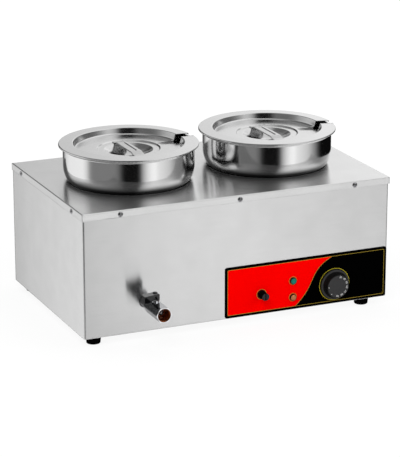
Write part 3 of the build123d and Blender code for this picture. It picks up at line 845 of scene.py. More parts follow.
COPPER = Metal("drawn_copper", (0.66, 0.31, 0.20), 0.32, grain=(50.0, 900.0, 900.0), clouds=40.0)
MOUTH_BROWN = Metal(
    "raw_thread", (0.32, 0.10, 0.035), 0.38, grain=(700.0, 90.0, 700.0), shade=0.15, clouds=90.0
)
BLACK_MOULD = Moulding("black_moulding", (0.004, 0.004, 0.0042), 0.42, relief=0.012)
# lever: its upward faces are painted lighter grey, a painted sheen
LEVER_MOULD = WornMoulding(
    "lever_moulding", (0.003, 0.003, 0.0034), 0.10, polish=0.03, relief=0.001, gloss=0.6,
    worn=(0.16, 0.16, 0.162),
)
DOME_MOULD = Moulding(
    "lever_dome", (0.003, 0.003, 0.0034), 0.10, polish=0.03, relief=0.001, gloss=0.6
)
BARREL_MOULD = Moulding("fuse_barrel", (0.002, 0.002, 0.002), 0.55, relief=0.008, gloss=0.0)
GRIP_MOULD = Moulding(
    "knob_grip", (0.006, 0.006, 0.006), 0.30, grain=(1800.0,) * 3, relief=0.008, gloss=0.12
)
# knob face and skirt: matt, and lighter grey than the black grip as painted light on these front
# faces
KNOB_MOULD = Moulding(
    "knob_face", (0.040, 0.040, 0.041), 0.60, grain=(1800.0,) * 3, shade=0.12, relief=0.014
)
# fuse cap face: lighter grey than the black barrel, painted light on its front face
CAP_MOULD = Moulding(
    "fuse_cap_face", (0.024, 0.024, 0.025), 0.50, grain=(1800.0,) * 3, shade=0.15, gloss=0.15
)
WHITE_MOULD = Moulding(
    "white_moulding", (0.78, 0.77, 0.73), 0.45, grain=(1200.0,) * 3, shade=0.05, gloss=0.5
)
SEAL = Moulding(
    "pale_seal", (0.82, 0.81, 0.78), 0.38, grain=(700.0,) * 3, shade=0.04, relief=0.006, gloss=0.5
)
RUBBER = Moulding(
    "foot_rubber", (0.002, 0.002, 0.002), 0.68, grain=(1100.0,) * 3, shade=0.25, polish=0.08,
    relief=0.03, clouds=50.0, gloss=0.0,
)
PLATE_BLACK = Ink(
    "panel_black", (0.0005, 0.0005, 0.0005), 0.45, shade=0.3, clouds=12.0, gloss=0.0
)
INK_RED = Ink("panel_red", (0.98, 0.0004, 0.0003), 0.45, shade=0.02, clouds=12.0, gloss=0.0)
INK_GOLD = Ink("panel_gold", (0.40, 0.28, 0.035), 0.42)
INK_YELLOW = Ink("ring_yellow", (0.56, 0.47, 0.03), 0.42)
INK_WHITE = Ink(
    "dial_white", (0.62, 0.62, 0.61), 0.55, grain=(1500.0,) * 3, clouds=60.0, gloss=0.2
)
GREEN_LENS = Clear("green_glass", (0.006, 0.20, 0.145), 0.22, shade=0.2, clouds=160.0)
AMBER_LENS = Clear("amber_glass", (0.44, 0.175, 0.07), 0.22, shade=0.35, clouds=260.0)
FUSE_GLASS = Clear(
    "fuse_tube", (0.92, 0.94, 0.93), 0.04, grain=(300.0,) * 3, shade=0.02, polish=0.02,
    relief=0.001, clouds=60.0, gloss=0.5, clear=0.9,
)


# Pieces on the frame


def round_edges(piece: bpy.types.Object, width: float, segments: int, past: float) -> None:
    """Bevel a piece's edges by a modifier.

    Args:
        piece: the piece.
        width: of the bevel in millimetres.
        segments: across the bevel.
        past: angle in degrees past which an edge gets it.
    """
    edge = piece.modifiers.new("edge", "BEVEL")
    edge.width = width * MM
    edge.segments = segments
    edge.limit_method = "ANGLE"
    edge.angle_limit = math.radians(past)


def add_piece(
    name: str,
    skin: Skin,
    finish: Finish,
    body: str,
    replaces: Sequence[str] = (),
    sheet: float = 0.0,
    bevel: float = 0.0,
    sharp: float = 35.0,
) -> None:
    """Make a piece of the object from a surface and let it ride on a body.

    Args:
        name: the piece's name.
        skin: its surface.
        finish: its finish.
        body: body that it moves with.
        replaces: nodes that it stands for.
        sheet: wall to give to an open surface, behind its face.
        bevel: width of a bevel on its sharp edges.
        sharp: angle in degrees past which an edge shows as sharp.
    """
    mesh = skin.mesh(name, outward=sheet == 0.0)
    mesh.shade_smooth()
    mesh.set_sharp_from_angle(angle=math.radians(sharp))
    mesh.materials.append(finish.material())
    piece = bpy.data.objects.new(name, mesh)
    bpy.context.scene.collection.objects.link(piece)
    if sheet:
        wall = piece.modifiers.new("wall", "SOLIDIFY")
        wall.thickness = sheet * MM
        wall.offset = -1.0
        wall.use_even_offset = True
    if bevel:
        round_edges(piece, bevel, 2, sharp)
    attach(piece, body)
    if replaces:
        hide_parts(*replaces)
    LOG.info("%s: %d faces, rides on %s", name, len(mesh.polygons), body)


def dress(finish: Finish, *nodes: str) -> None:
    """Give nodes of the frame a finish.

    Args:
        finish: the finish.
        nodes: their names.
    """
    for node in nodes:
        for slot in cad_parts[node].material_slots:
            slot.material = finish.material()
        LOG.info("%s: dressed in %s", node, finish.name)


# Studio


def stand(thing: bpy.types.Object, axes: Sequence[np.ndarray], spot: XYZ) -> None:
    """Link an object to the scene at a spot, turned to three axes.

    Args:
        thing: the object.
        axes: where its X, Y and Z point.
        spot: its place in metres.
    """
    turn = np.eye(4)
    turn[:3, :3] = np.stack(axes, axis=1)
    turn[:3, 3] = spot
    thing.matrix_world = Matrix(turn.tolist())
    bpy.context.scene.collection.objects.link(thing)


@dataclass(frozen=True)
class Ring:
    """A ring of screens round the object, seen only in its gloss.

    Attributes:
        start: sine of the elevation where it starts to take over from the ring below.
        full: sine of the elevation where it has taken over.
        bands: brightness by bearing from the camera to the right, in degrees.
    """

    start: float
    full: float
    bands: tuple[Pair, ...]

    def tone(self, board: Board, place: Socket) -> Socket:
        """Read the ring's brightness as a grey, at a share of the way round."""
        stops = [(bearing / 360.0 + 0.5, (tone,) * 3) for bearing, tone in self.bands]
        return board.bands(place, stops)


@dataclass(frozen=True)
class Lamp:
    """A soft square lamp, not seen in the gloss.

    Attributes:
        name: its name.
        spot: its place in metres.
        size: its side in metres.
        power: its power in watts.
    """

    name: str
    spot: XYZ
    size: float
    power: float

    def hang(self, aim: XYZ) -> None:
        """Hang the lamp so that it looks at a place.

        Args:
            aim: the place in metres.
        """
        data = bpy.data.lights.new(self.name, "AREA")
        data.size = self.size
        data.energy = self.power
        lamp = bpy.data.objects.new(self.name, data)
        lamp.visible_glossy = False
        back = np.array(self.spot) - np.array(aim)
        back /= np.linalg.norm(back)
        side = np.cross([0.0, 0.0, 1.0], back)
        side /= np.linalg.norm(side)
        stand(lamp, (side, np.cross(back, side), back), self.spot)


# Stops that several rings share
BACK_LEFT = ((-180, 0.84), (-174, 0.66), (-166, 0.42), (-160, 0.06), (-134, 0.03), (-129, 0.50))
BACK_RIGHT = ((160, 0.95), (176, 1.0), (180, 0.84))
FRONT_GREY = ((-70, 0.28), (-64, 0.20), (-24, 0.20), (-17, 0.14))
FRONT_DARK = ((-10, 0.03), (-5, 0.004), (17, 0.004), (22, 0.05))
FRONT_RISE = ((29, 0.42), (36, 0.72), (49, 0.98))
RINGS = (
    Ring(-1.0, -1.0, (
        (-180, 0.92), (-10, 0.92), (6, 0.68), (18, 0.46), (38, 0.46), (54, 0.70), (72, 0.92),
        (180, 0.92),
    )),
    Ring(-0.46, -0.38, (
        (-180, 0.06), (-156, 0.10), (-147, 0.38), (-140, 0.68), (-133, 0.79), (-124, 0.88),
        (-86, 0.92), (-78, 0.72), *FRONT_GREY, *FRONT_DARK, (29, 0.45), (36, 0.76), (43, 0.95),
        (49, 1.0), (57, 0.82), (66, 0.74), (78, 0.60), (88, 0.36), (102, 0.06), (110, 0.003),
        (160, 0.003), (172, 0.04), (180, 0.06),
    )),
    Ring(-0.10, 0.02, (
        *BACK_LEFT, (-120, 0.62), (-100, 0.60), (-84, 0.48), (-64, 0.26), (-46, 0.07),
        (-34, 0.02), (14, 0.01), (30, 0.02), (42, 0.16), (52, 0.22), (62, 0.16), (80, 0.14),
        (110, 0.14), (140, 0.45), *BACK_RIGHT,
    )),
    Ring(0.225, 0.265, (
        *BACK_LEFT, (-122, 0.85), (-88, 0.90), (-78, 0.70), *FRONT_GREY, *FRONT_DARK, *FRONT_RISE,
        (60, 0.85), (76, 0.60), (92, 0.30), (110, 0.20), (140, 0.50), *BACK_RIGHT,
    )),
    Ring(0.44, 0.54, (
        (-180, 0.72), (-166, 0.36), (-150, 0.12), (-124, 0.16), (-96, 0.30), (-70, 0.30),
        (-50, 0.22), (-24, 0.14), (-17, 0.10), *FRONT_DARK, *FRONT_RISE, (74, 0.85), (90, 0.96),
        (130, 1.0), (160, 0.88), (180, 0.72),
    )),
    Ring(0.90, 0.97, ((-180, 0.62), (180, 0.62))),
)
LAMPS = (
    Lamp("key", (-1.3, -1.9, 2.2), 1.5, 38.0),
    Lamp("fill", (2.1, -1.5, 1.5), 1.4, 16.0),
    Lamp("top", (0.2, 0.5, 2.4), 1.6, 14.0),
)


@dataclass
class Studio:
    """Camera, surround, lamps and floor.

    Attributes:
        eye: the camera's place in metres.
        yaw: turn of its view from +Y, in degrees.
        pitch: its tilt below level, in degrees.
        lens: its lens in millimetres.
        sensor: width of its sensor in millimetres.
        far: how far it sees, in metres.
        aim: place in metres that the lamps look at.
        fill: strength of the room's light on the object.
        floor_half: half of the floor's side.
        floor_level: Z of the floor.
        floor_tone: the floor's grey.
        floor_glow: strength of its own light to the eye.
        near: ways in metres from the object between which the floor's glow takes over.
        share: shares of the glow there.
    """

    eye: XYZ = (-1.46905, -3.31852, 1.25547)
    yaw: float = -23.7427
    pitch: float = 17.2421
    lens: float = 176.06
    sensor: float = 36.0
    far: float = 50.0
    aim: XYZ = (0.0, 0.0, 0.12)
    fill: float = 0.5
    floor_half: float = 12000.0
    floor_level: float = -0.2
    floor_tone: float = 0.86
    floor_glow: float = 1.03
    near: Pair = (0.35, 0.9)
    share: Pair = (0.86, 1.0)

    def build(self) -> None:
        """Set the stage."""
        bpy.context.scene.view_settings.view_transform = "Standard"
        self.add_camera()
        self.add_surround()
        for lamp in LAMPS:
            lamp.hang(self.aim)
        self.add_floor()

    def axes(self) -> tuple[np.ndarray, np.ndarray, np.ndarray]:
        """Work out the view's axes from its yaw and pitch.

        Returns:
            Its right, its up and its line of sight.
        """
        yaw = math.radians(self.yaw)
        pitch = math.radians(self.pitch)
        right = np.array([math.cos(yaw), math.sin(yaw), 0.0])
        level = np.array([-math.sin(yaw), math.cos(yaw), 0.0])
        up = math.sin(pitch) * level + np.array([0.0, 0.0, math.cos(pitch)])
        sight = math.cos(pitch) * level - np.array([0.0, 0.0, math.sin(pitch)])
        return right, up, sight

    def add_camera(self) -> None:
        """Stand the camera where the photograph was taken."""
        right, up, sight = self.axes()
        data = bpy.data.cameras.new("camera")
        data.lens = self.lens
        data.sensor_width = self.sensor
        data.sensor_fit = "AUTO"
        data.clip_end = self.far
        camera = bpy.data.objects.new("camera", data)
        stand(camera, (right, up, -sight), self.eye)
        bpy.context.scene.camera = camera

    def add_surround(self) -> None:
        """Surround the object with a white room, and with bright and dark screens in its gloss.

        The bearing is the angle of the level part of a direction from the camera's side; each
        ring of screens takes over from the one below as the direction's height rises.
        """
        world = bpy.data.worlds.new("studio")
        bpy.context.scene.world = world
        world.use_nodes = True
        world.node_tree.nodes.clear()
        board = Board(world.node_tree)
        right, _, sight = self.axes()
        way = board.add("ShaderNodeTexCoord").outputs["Generated"]
        aside = board.measure("DOT_PRODUCT", way, tuple(right))
        ahead = board.measure("DOT_PRODUCT", way, (-sight[0], -sight[1], 0.0))
        bearing = board.math("ARCTAN2", aside, ahead)
        place = board.span(bearing, (-math.pi, math.pi), (0.0, 1.0))
        height = board.rise(way)
        screens = RINGS[0].tone(board, place)
        for ring in RINGS[1:]:
            share = board.span(height, (ring.start, ring.full), (0.0, 1.0))
            screens = board.blend(share, screens, ring.tone(board, place))
        camera, gloss = board.rays()
        room = board.glow("ShaderNodeBackground", WHITE, self.fill)
        shown = board.glow("ShaderNodeBackground", screens, 1.0)
        behind = board.glow("ShaderNodeBackground", WHITE, 1.0)
        mixed = board.either(camera, board.either(gloss, room, shown), behind)
        board.add("ShaderNodeOutputWorld", {"Surface": mixed})

    def add_floor(self) -> None:
        """Lay a pale floor: part matt, part self-lit to the eye, all white far from the object."""
        side = np.linspace(-self.floor_half, self.floor_half, 9)
        x, y = np.meshgrid(side, side)
        skin = Skin.grid(np.stack([x, y, np.full_like(x, self.floor_level)], axis=-1))
        mesh = skin.mesh("floor", outward=False)
        made = bpy.data.materials.new("pale_floor")
        made.use_nodes = True
        made.node_tree.nodes.clear()
        board = Board(made.node_tree)
        lit = board.span(board.measure("LENGTH", board.spot()), self.near, self.share)
        seen = board.math("MULTIPLY", board.math("MAXIMUM", *board.rays()), lit)
        tone = {"Color": (*(self.floor_tone,) * 3, 1.0)}
        matt = board.add("ShaderNodeBsdfDiffuse", tone).outputs[0]
        glow = board.glow("ShaderNodeEmission", WHITE, self.floor_glow)
        board.add("ShaderNodeOutputMaterial", {"Surface": board.either(seen, matt, glow)})
        mesh.materials.append(made)
        floor = bpy.data.objects.new("floor", mesh)
        floor.visible_glossy = False
        bpy.context.scene.collection.objects.link(floor)


# Sub-assemblies


@dataclass
class DomedScrews:
    """Domed screws with a cross recess.

    Attributes:
        radius: of the head.
        height: of the head.
        undercut: how far the head's underside stays inside its rim.
        shank: radius of the shank.
        length: of the shank.
        point: rounding of the shank's end.
        arm: half width of the recess's arms.
        span: half length of the recess's arms.
        flank: width of the slopes along the arms.
        tip: length of the slopes at the arms' ends.
        sink: depth of the recess.
        rows: points from the head's rim to its crown.
        columns: points round it.
    """

    radius: float = 4.6
    height: float = 2.2
    undercut: float = 0.1
    shank: float = 2.0
    length: float = 7.0
    point: float = 0.4
    arm: float = 0.55
    span: float = 2.5
    flank: float = 0.15
    tip: float = 0.5
    sink: float = 1.3
    rows: int = 24
    columns: int = 72

    def screw(self) -> Skin:
        """Shape one screw about +Z, head above the origin.

        The head is an arc through its rim and its crown, turned round; inside either arm of the
        cross its height drops by the sink, eased at the arm's edges.

        Returns:
            The screw.
        """
        stem = rounded_line(
            [(0.0, -self.length, 0.0), (self.shank, -self.length, self.point),
             (self.shank, 0.0, 0.0), (self.radius - self.undercut, 0.0, 0.0)]
        )
        ball = (self.radius**2 + self.height**2) / (2.0 * self.height)
        lean = np.linspace(math.asin(self.radius / ball), 0.0, self.rows)
        crown = np.stack([ball * np.sin(lean), ball * np.cos(lean) - ball + self.height], axis=-1)
        skin = turned(np.concatenate([stem, crown]), self.columns)
        x, y, z = skin.points.T
        near = np.minimum(np.abs(x), np.abs(y))
        reach = np.maximum(np.abs(x), np.abs(y))
        inside = 1.0 - smooth(near, self.arm, self.arm + self.flank)
        inside *= 1.0 - smooth(reach, self.span - self.tip, self.span)
        skin.points[:, 2] = np.where(z > self.height / 2, z - self.sink * inside, z)
        return skin

    def build(self, name: str, places: Sequence[tuple[XYZ, Facing]]) -> None:
        """Put a screw at each place, in one piece that stands for the node of the same name.

        Args:
            name: of the node.
            places: seat and facing of each screw.
        """
        skin = Skin.joined([self.screw().placed(spot, facing) for spot, facing in places])
        add_piece(name + "_drive", skin, SCREW, "cabinet", (name,))


@dataclass
class Casing:
    """Sheet casing, its screws and its feet.

    Attributes:
        left: X of the left wall.
        right: X of the right wall.
        front: Y of the front wall.
        back: Y of the back wall.
        low: Z of the casing's foot.
        top: Z of the cover.
        flange: how far the cover's flange stands off the walls.
        bend: width of the rounding on the sheets' bends.
        bend_past: angle in degrees past which an edge is a bend.
        screw_drop: how far the cover's screws sit below its top.
        screw_xs: X of the screws in front and behind.
        screw_reach: how far the side screws sit from the middle of the depth.
        rear_inset: places of the rear panel's screws in from the sides, the foot and the top.
        foot_inset: places of the feet in from the left, from the right, and from front and back.
        foot_line: radius, height and rounding of a foot's corners.
    """

    left: float = -275.0
    right: float = 275.0
    front: float = -140.5
    back: float = 194.5
    low: float = 15.0
    top: float = 226.0
    flange: float = 1.3
    bend: float = 0.9
    bend_past: float = 60.0
    screw_drop: float = 7.0
    screw_xs: XYZ = (-210.5, 0.0, 210.5)
    screw_reach: float = 121.0
    rear_inset: XYZ = (8.0, 20.0, 32.0)
    foot_inset: XYZ = (24.0, 36.0, 22.0)
    foot_line: Line = (
        (2.1, 6.0, 0.4), (6.0, 6.0, 0.6), (6.0, 0.0, 0.6), (11.5, 0.0, 1.4), (13.0, 15.0, 0.8),
        (2.1, 15.0, 0.0),
    )

    def build(self) -> None:
        """Dress the sheets and add the screws and feet."""
        dress(BRUSHED, "casing_wrap", "rear_panel")
        dress(BRUSHED_TOP, "top_cover", "base_plate")
        dress(ZINC, "foot_screws", "foot_nuts")
        for node in ("top_cover", "casing_wrap"):
            round_edges(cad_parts[node], self.bend, 3, self.bend_past)
        self.add_screws()
        self.add_feet()

    def add_screws(self) -> None:
        """Put the cover's and the rear panel's screws at their seats."""
        screws = DomedScrews()
        z = self.top - self.screw_drop
        middle = (self.front + self.back) / 2
        places = []
        for x in self.screw_xs:
            places.append(((x, self.front - self.flange, z), Facing.FRONT))
            places.append(((x, self.back + self.flange, z), Facing.BACK))
        for y in (middle - self.screw_reach, middle + self.screw_reach):
            places.append(((self.left - self.flange, y, z), Facing.LEFT))
            places.append(((self.right + self.flange, y, z), Facing.RIGHT))
        screws.build("cover_screws", places)
        side, low, high = self.rear_inset
        xs = (self.left + side, self.right - side)
        zs = (self.low + low, self.top - high)
        rear = [((x, self.back, z), Facing.BACK) for x in xs for z in zs]
        screws.build("rear_panel_screws", rear)

    def add_feet(self) -> None:
        """Turn the rubber feet: a tapered bush with rounded edges and a counterbore."""
        foot = turned(rounded_line(self.foot_line, closed=True), 72, closed=True)
        left, right, depth = self.foot_inset
        xs = (self.left + left, self.right - right)
        ys = (self.front + depth, self.back - depth)
        skin = Skin.joined([foot.placed((x, y, 0.0)) for x in xs for y in ys])
        add_piece("rubber_foot_bushes", skin, RUBBER, "cabinet", ("rubber_feet",))


@dataclass
class WaterBath:
    """What lies under the cover: tank, heater, drain and sensing bulb."""

    def build(self) -> None:
        """Dress the hidden nodes."""
        dress(TANK_STEEL, "water_tank")
        dress(SHEATH, "heating_element")
        dress(ZINC, "element_nuts", "element_stay", "bulb_clips", "drain_socket")
        dress(RUBBER, "element_gaskets", "tap_gasket")
        dress(COPPER, "thermostat_bulb")
        dress(BRASS, "tap_locknut")


class Side(Enum):
    """Side of the object, seen from the front."""

    LEFT = "left"
    RIGHT = "right"


@dataclass
class PotSet:
    """One round pot with its lid and strap handle.

    A corner of the lid is given by its radius and its rounding.

    Attributes:
        side: its side of the object.
        centre: X and Y of its axis.
        notch: bearing of the lid's ladle notch from +X, in degrees.
        radius: of the pot's wall.
        wall: its thickness.
        floor: Z of its floor.
        rim: Z of its rim.
        base: radius where floor and taper would meet, outside and inside.
        shoulder: height over the floor where taper and wall would meet, outside and inside.
        turns: rounding of the base and the shoulder on the outside.
        lip: how far the rolled rim stands out.
        roll: how far below the rim its roll starts and is full.
        roll_turns: rounding of the roll's start, of its outside and of the rim inside.
        lid_top: Z of the lid's flange.
        lid_radius: of the lid.
        lid_sheet: its thickness.
        lid_turns: rounding of the step's foot, of its top and of the flange's edge.
        disc: Z of the lid's sunk disc.
        ledge: Z of the ledge round the lid's finger cup.
        cup_depth: depth of the cup below the disc.
        cup_foot: corner of the cup's floor, a bowl.
        cup_rim: corner of the cup's rim.
        ledge_rim: corner of the ledge's outer edge.
        disc_rim: corner of the disc's inner edge.
        step_inset: how far the step's top lies inside the pot's wall.
        step_run: level run of the step.
        fall: how far the flange falls to its edge, and how far its hem hangs.
        notch_width: of the ladle notch.
        notch_end: radius where the notch stops.
        strap_width: of the handle.
        strap_sheet: its thickness.
        strap_line: way from the middle, rise over the feet and rounding of half its corners.
        groove: half widths between which the strap's groove closes.
        groove_end: half lengths between which it ends.
        groove_depth: of the groove.
        edge_drop: how far the strap's edges turn down.
        edge_power: power of the way out with which they do.
        columns: points round the pot.
        lid_columns: points round the lid from side to side of its notch.
        gap_columns: points across the notch.
        strap_grid: points along the strap and across it.
    """

    side: Side
    centre: Pair
    notch: float
    radius: float = 110.2
    wall: float = 1.0
    floor: float = 168.0
    rim: float = 287.2
    base: Pair = (57.19, 56.7)
    shoulder: Pair = (67.85, 68.2)
    turns: Pair = (14.0, 44.0)
    lip: float = 3.2
    roll: Pair = (5.4, 3.0)
    roll_turns: XYZ = (2.6, 1.2, 1.0)
    lid_top: float = 289.0
    lid_radius: float = 117.5
    lid_sheet: float = 1.0
    lid_turns: XYZ = (2.6, 1.7, 1.5)
    disc: float = 278.5
    ledge: float = 276.5
    cup_depth: float = 13.5
    cup_foot: Pair = (20.0, 60.0)
    cup_rim: Pair = (41.0, 2.2)
    ledge_rim: Pair = (51.2, 1.2)
    disc_rim: Pair = (53.2, 1.2)
    step_inset: float = 16.0
    step_run: float = 3.0
    fall: Pair = (0.8, 3.4)
    notch_width: float = 19.5
    notch_end: float = 83.5
    strap_width: float = 20.0
    strap_sheet: float = 1.6
    strap_line: Line = ((50.1, 0.0, 0.0), (43.0, 0.0, 6.0), (33.0, 3.0, 9.0))
    groove: Pair = (3.0, 3.9)
    groove_end: Pair = (25.0, 30.0)
    groove_depth: float = 1.1
    edge_drop: float = 0.5
    edge_power: int = 10
    columns: int = 192
    lid_columns: int = 181
    gap_columns: int = 13
    strap_grid: Counts = (161, 61)

    def build(self) -> None:
        """Add the pot, its lid and its handle."""
        side = self.side.value
        # The mirror wall gets a nearly black ring of painted shade from Z 212 to 243, darkest at
        # 230, just above the cover at 226.
        mirror = Spun(
            f"mirror_wall_{side}", (0.88, 0.88, 0.88), 0.11, clouds=4.0, axis=self.centre,
            upright=True, tarnish=Tarnish(212.0, 230.0, 243.0, 0.02),
        )
        satin = Spun(
            f"spun_lid_{side}", (0.75, 0.75, 0.75), 0.17, grain=(1.5, 1.5, 1800.0),
            clouds=6.0, drag=0.2, axis=self.centre,
        )
        brushed = Metal(
            f"satin_strap_{side}", (0.66, 0.66, 0.66), 0.20, grain=(1800.0, 20.0, 60.0),
            shade=0.03, polish=0.04, relief=0.001, clouds=9.0,
        )
        pot, lid, handle = (f"{part}_{side}" for part in ("pot", "lid", "lid_handle"))
        for name, skin, finish, body, slot, node, sheet, sharp in (
            ("drawn_pot", self.pot(), mirror, pot, "polished_stainless", pot, 0.0, 50.0),
            ("pressed_lid", self.lid(), satin, lid, "satin_stainless", lid, self.lid_sheet, 60.0),
            ("grooved_strap", self.strap(), brushed, lid, "satin_stainless", handle,
             self.strap_sheet, 60.0),
        ):
            placed = skin.placed((*self.centre, 0.0))
            full = f"{name}_{side}"
            add_piece(full, placed, finish, body, (node,), sheet=sheet, sharp=sharp)

    def pot(self) -> Skin:
        """Turn the pot's closed profile: floor, taper, bend, wall, rolled rim, back down inside.

        Returns:
            The pot.
        """
        out, inn = self.radius, self.radius - self.wall
        lip, inside = out + self.lip, self.floor + self.wall
        start, edge, brim = self.roll_turns
        foot, bend = self.turns
        profile = rounded_line(
            [(0.0, self.floor, 0.0), (self.base[0], self.floor, foot),
             (out, self.floor + self.shoulder[0], bend), (out, self.rim - self.roll[0], start),
             (lip, self.rim - self.roll[1], edge), (lip, self.rim, edge), (inn, self.rim, brim),
             (inn, self.floor + self.shoulder[1], bend - self.wall),
             (self.base[1], inside, foot - self.wall), (0.0, inside, 0.0)]
        )
        return turned(profile, self.columns)

    def lid(self) -> Skin:
        """Sweep the lid's upper line round its axis, open where the ladle notch is cut.

        Out to the notch's end the columns go all the way round; beyond it each row starts and
        ends at the angle whose sine is half the notch's width over the row's radius.

        Returns:
            The lid's upper face.
        """
        cup = self.disc - self.cup_depth
        step = self.radius - self.wall - self.step_inset
        foot, brow, edge = self.lid_turns
        fall, hem = self.fall
        places = (
            (0.0, cup, 0.0),
            (self.cup_foot[0], cup, self.cup_foot[1]),
            (self.cup_rim[0], self.ledge, self.cup_rim[1]),
            (self.ledge_rim[0], self.ledge, self.ledge_rim[1]),
            (self.disc_rim[0], self.disc, self.disc_rim[1]),
            (step - self.step_run, self.disc, foot),
            (step, self.lid_top, brow),
            (self.lid_radius, self.lid_top - fall, edge),
            (self.lid_radius, self.lid_top - hem, 0.0),
        )
        line = rounded_line(places)
        row = int(np.argmax(line[:, 0] > self.notch_end))
        cut = np.array([[self.notch_end, self.disc]])
        inner = np.concatenate([line[:row], cut])
        outer = np.concatenate([cut, line[row:]])
        start = np.arcsin(self.notch_width / 2 / outer[:, :1])
        open_turn = start + np.linspace(0.0, 1.0, self.lid_columns) * (TURN - 2.0 * start)
        gap = np.linspace(-1.0, 1.0, self.gap_columns)[1:-1] * start[0]
        full_turn = np.concatenate([open_turn[0], gap + TURN])[None, :]
        skins = []
        for profile, turn, closed in ((inner, full_turn, True), (outer, open_turn, False)):
            points = polar(profile[:, :1], turn + math.radians(self.notch), profile[:, 1:])
            skins.append(Skin.grid(points[:, ::-1], closed_cols=closed))
        return Skin.joined(skins)

    def strap(self) -> Skin:
        """Carry a grooved strip along the strap's bent line, feet on the ledge, front to back.

        Across the strip the height drops by a groove in the middle of the crown and by a little
        at the edges, there with a high power of the way out.

        Returns:
            The strap's upper face.
        """
        low = self.ledge + self.strap_sheet
        half = [(y, low + rise, turn) for y, rise, turn in self.strap_line]
        line = rounded_line([(-y, z, turn) for y, z, turn in half] + half[::-1])
        length = np.concatenate([[0.0], np.cumsum(np.linalg.norm(np.diff(line, axis=0), axis=1))])
        runs = np.linspace(0.0, 1.0, self.strap_grid[0])
        y, z = (np.interp(runs, length / length[-1], column)[:, None] for column in line.T)
        x = np.linspace(-0.5, 0.5, self.strap_grid[1])[None, :] * self.strap_width
        groove = 1.0 - smooth(np.abs(x), *self.groove)
        groove = groove * (1.0 - smooth(np.abs(y), *self.groove_end))
        edge = np.abs(2.0 * x / self.strap_width) ** self.edge_power
        z = z - self.groove_depth * groove - self.edge_drop * edge
        return Skin.grid(np.stack(np.broadcast_arrays(x, y, z), axis=-1))


@dataclass
class TapLever:
    """Quarter-turn lever of the drain tap, with its dome screw.

    Attributes:
        x: of the stem.
        y: of the stem.
        low: Z of its foot at the hub.
        end: how far it reaches to the left of the stem.
        nose: how far it reaches to the right.
        width: across it.
        height: of its end.
        rise: of its top from end to nose.
        skirt: how far the arm hangs below the hub.
        skirt_end: shares of the length between which the skirt ends.
        droop: how far its top drops at the nose, and over what length.
        narrow: share by which its nose is slimmer.
        pocket: depth of the pockets in its flanks.
        pocket_left: share of the length where a pocket starts at its foot, and the change upwards.
        pocket_right: the same for where it ends.
        pocket_slopes: shares of the length of its slopes at the start and the end.
        pocket_foot: shares of the height between which it starts.
        pocket_top: shares of the height between which it ends.
        hollow: height of the hollow under its arm.
        hollow_end: ways in from the lever's end between which the hollow starts.
        hollow_hub: ways from the stem between which it ends.
        hollow_side: half widths between which it ends.
        bevel: width of the bevel on its edges.
        screw_seat: height of the screw's seat over the foot.
        screw_line: radius, height and rounding of the screw's corners.
        steps: of its grid along, across and up.
    """

    x: float
    y: float
    low: float = 81.3
    end: float = 20.7
    nose: float = 5.4
    width: float = 14.0
    height: float = 9.4
    rise: float = 2.5
    skirt: float = 1.9
    skirt_end: Pair = (0.25, 0.5)
    droop: Pair = (1.4, 1.6)
    narrow: float = 0.10
    pocket: float = 3.4
    pocket_left: Pair = (0.42, 0.40)
    pocket_right: Pair = (0.90, -0.16)
    pocket_slopes: Pair = (0.05, 0.09)
    pocket_foot: Pair = (0.05, 0.09)
    pocket_top: Pair = (0.66, 0.74)
    hollow: float = 6.5
    hollow_end: Pair = (1.8, 2.4)
    hollow_hub: Pair = (6.8, 6.2)
    hollow_side: Pair = (4.2, 4.8)
    bevel: float = 0.45
    screw_seat: float = 11.2
    screw_line: Line = (
        (0.0, -8.0, 0.0), (1.4, -8.0, 0.0), (1.4, 0.0, 0.0), (4.2, 0.0, 0.4), (3.6, 1.9, 1.5),
        (0.0, 2.6, 0.0),
    )
    steps: tuple[int, int, int] = (96, 30, 44)

    def build(self) -> None:
        """Add the lever and its screw."""
        body, slot = "drain_lever", "black_plastic"
        add_piece(
            "valve_lever", self.lever(), LEVER_MOULD, body, ("tap_lever",),
            bevel=self.bevel, sharp=40.0,
        )
        dome = turned(rounded_line(self.screw_line), 64)
        dome = dome.placed((self.x, self.y, self.low + self.screw_seat))
        add_piece("lever_dome_screw", dome, DOME_MOULD, body, ("tap_lever_screw",))

    def lever(self) -> Skin:
        """Shape the lever from the unit cube: its top rises to the hub and drops at the nose.

        A three-sided pocket is sunk in both flanks and the underside of the arm is hollow; each
        is a product of eased steps.

        Returns:
            The lever, closed.
        """
        skin = unit_shell(*self.steps)
        u, v, w = skin.points.T.copy()
        end, nose = self.x - self.end, self.x + self.nose
        x = end + u * (nose - end)
        foot = self.low - self.skirt * (1.0 - smooth(u, *self.skirt_end))
        drop, run = self.droop
        top = self.low + self.height + self.rise * u - drop * smooth(x, nose - run, nose)
        z = foot + w * (top - foot)
        y = (v - 0.5) * self.width * (1.0 - self.narrow * smooth(u, 0.5, 1.0))
        left, right = (at + change * w for at, change in (self.pocket_left, self.pocket_right))
        start, stop = self.pocket_slopes
        pocket = smooth(u, left, left + start) * (1.0 - smooth(u, right - stop, right))
        pocket *= smooth(w, *self.pocket_foot) * (1.0 - smooth(w, *self.pocket_top))
        y = np.where(v == 0.0, y + self.pocket * pocket, y)
        y = np.where(v == 1.0, y - self.pocket * pocket, y)
        hub = (self.x - self.hollow_hub[0], self.x - self.hollow_hub[1])
        hollow = smooth(x, end + self.hollow_end[0], end + self.hollow_end[1])
        hollow *= (1.0 - smooth(x, *hub)) * (1.0 - smooth(np.abs(y), *self.hollow_side))
        z = np.where(w == 0.0, z + self.hollow * hollow, z)
        return Skin(np.stack([x, y + self.y, z], axis=-1), skin.faces)


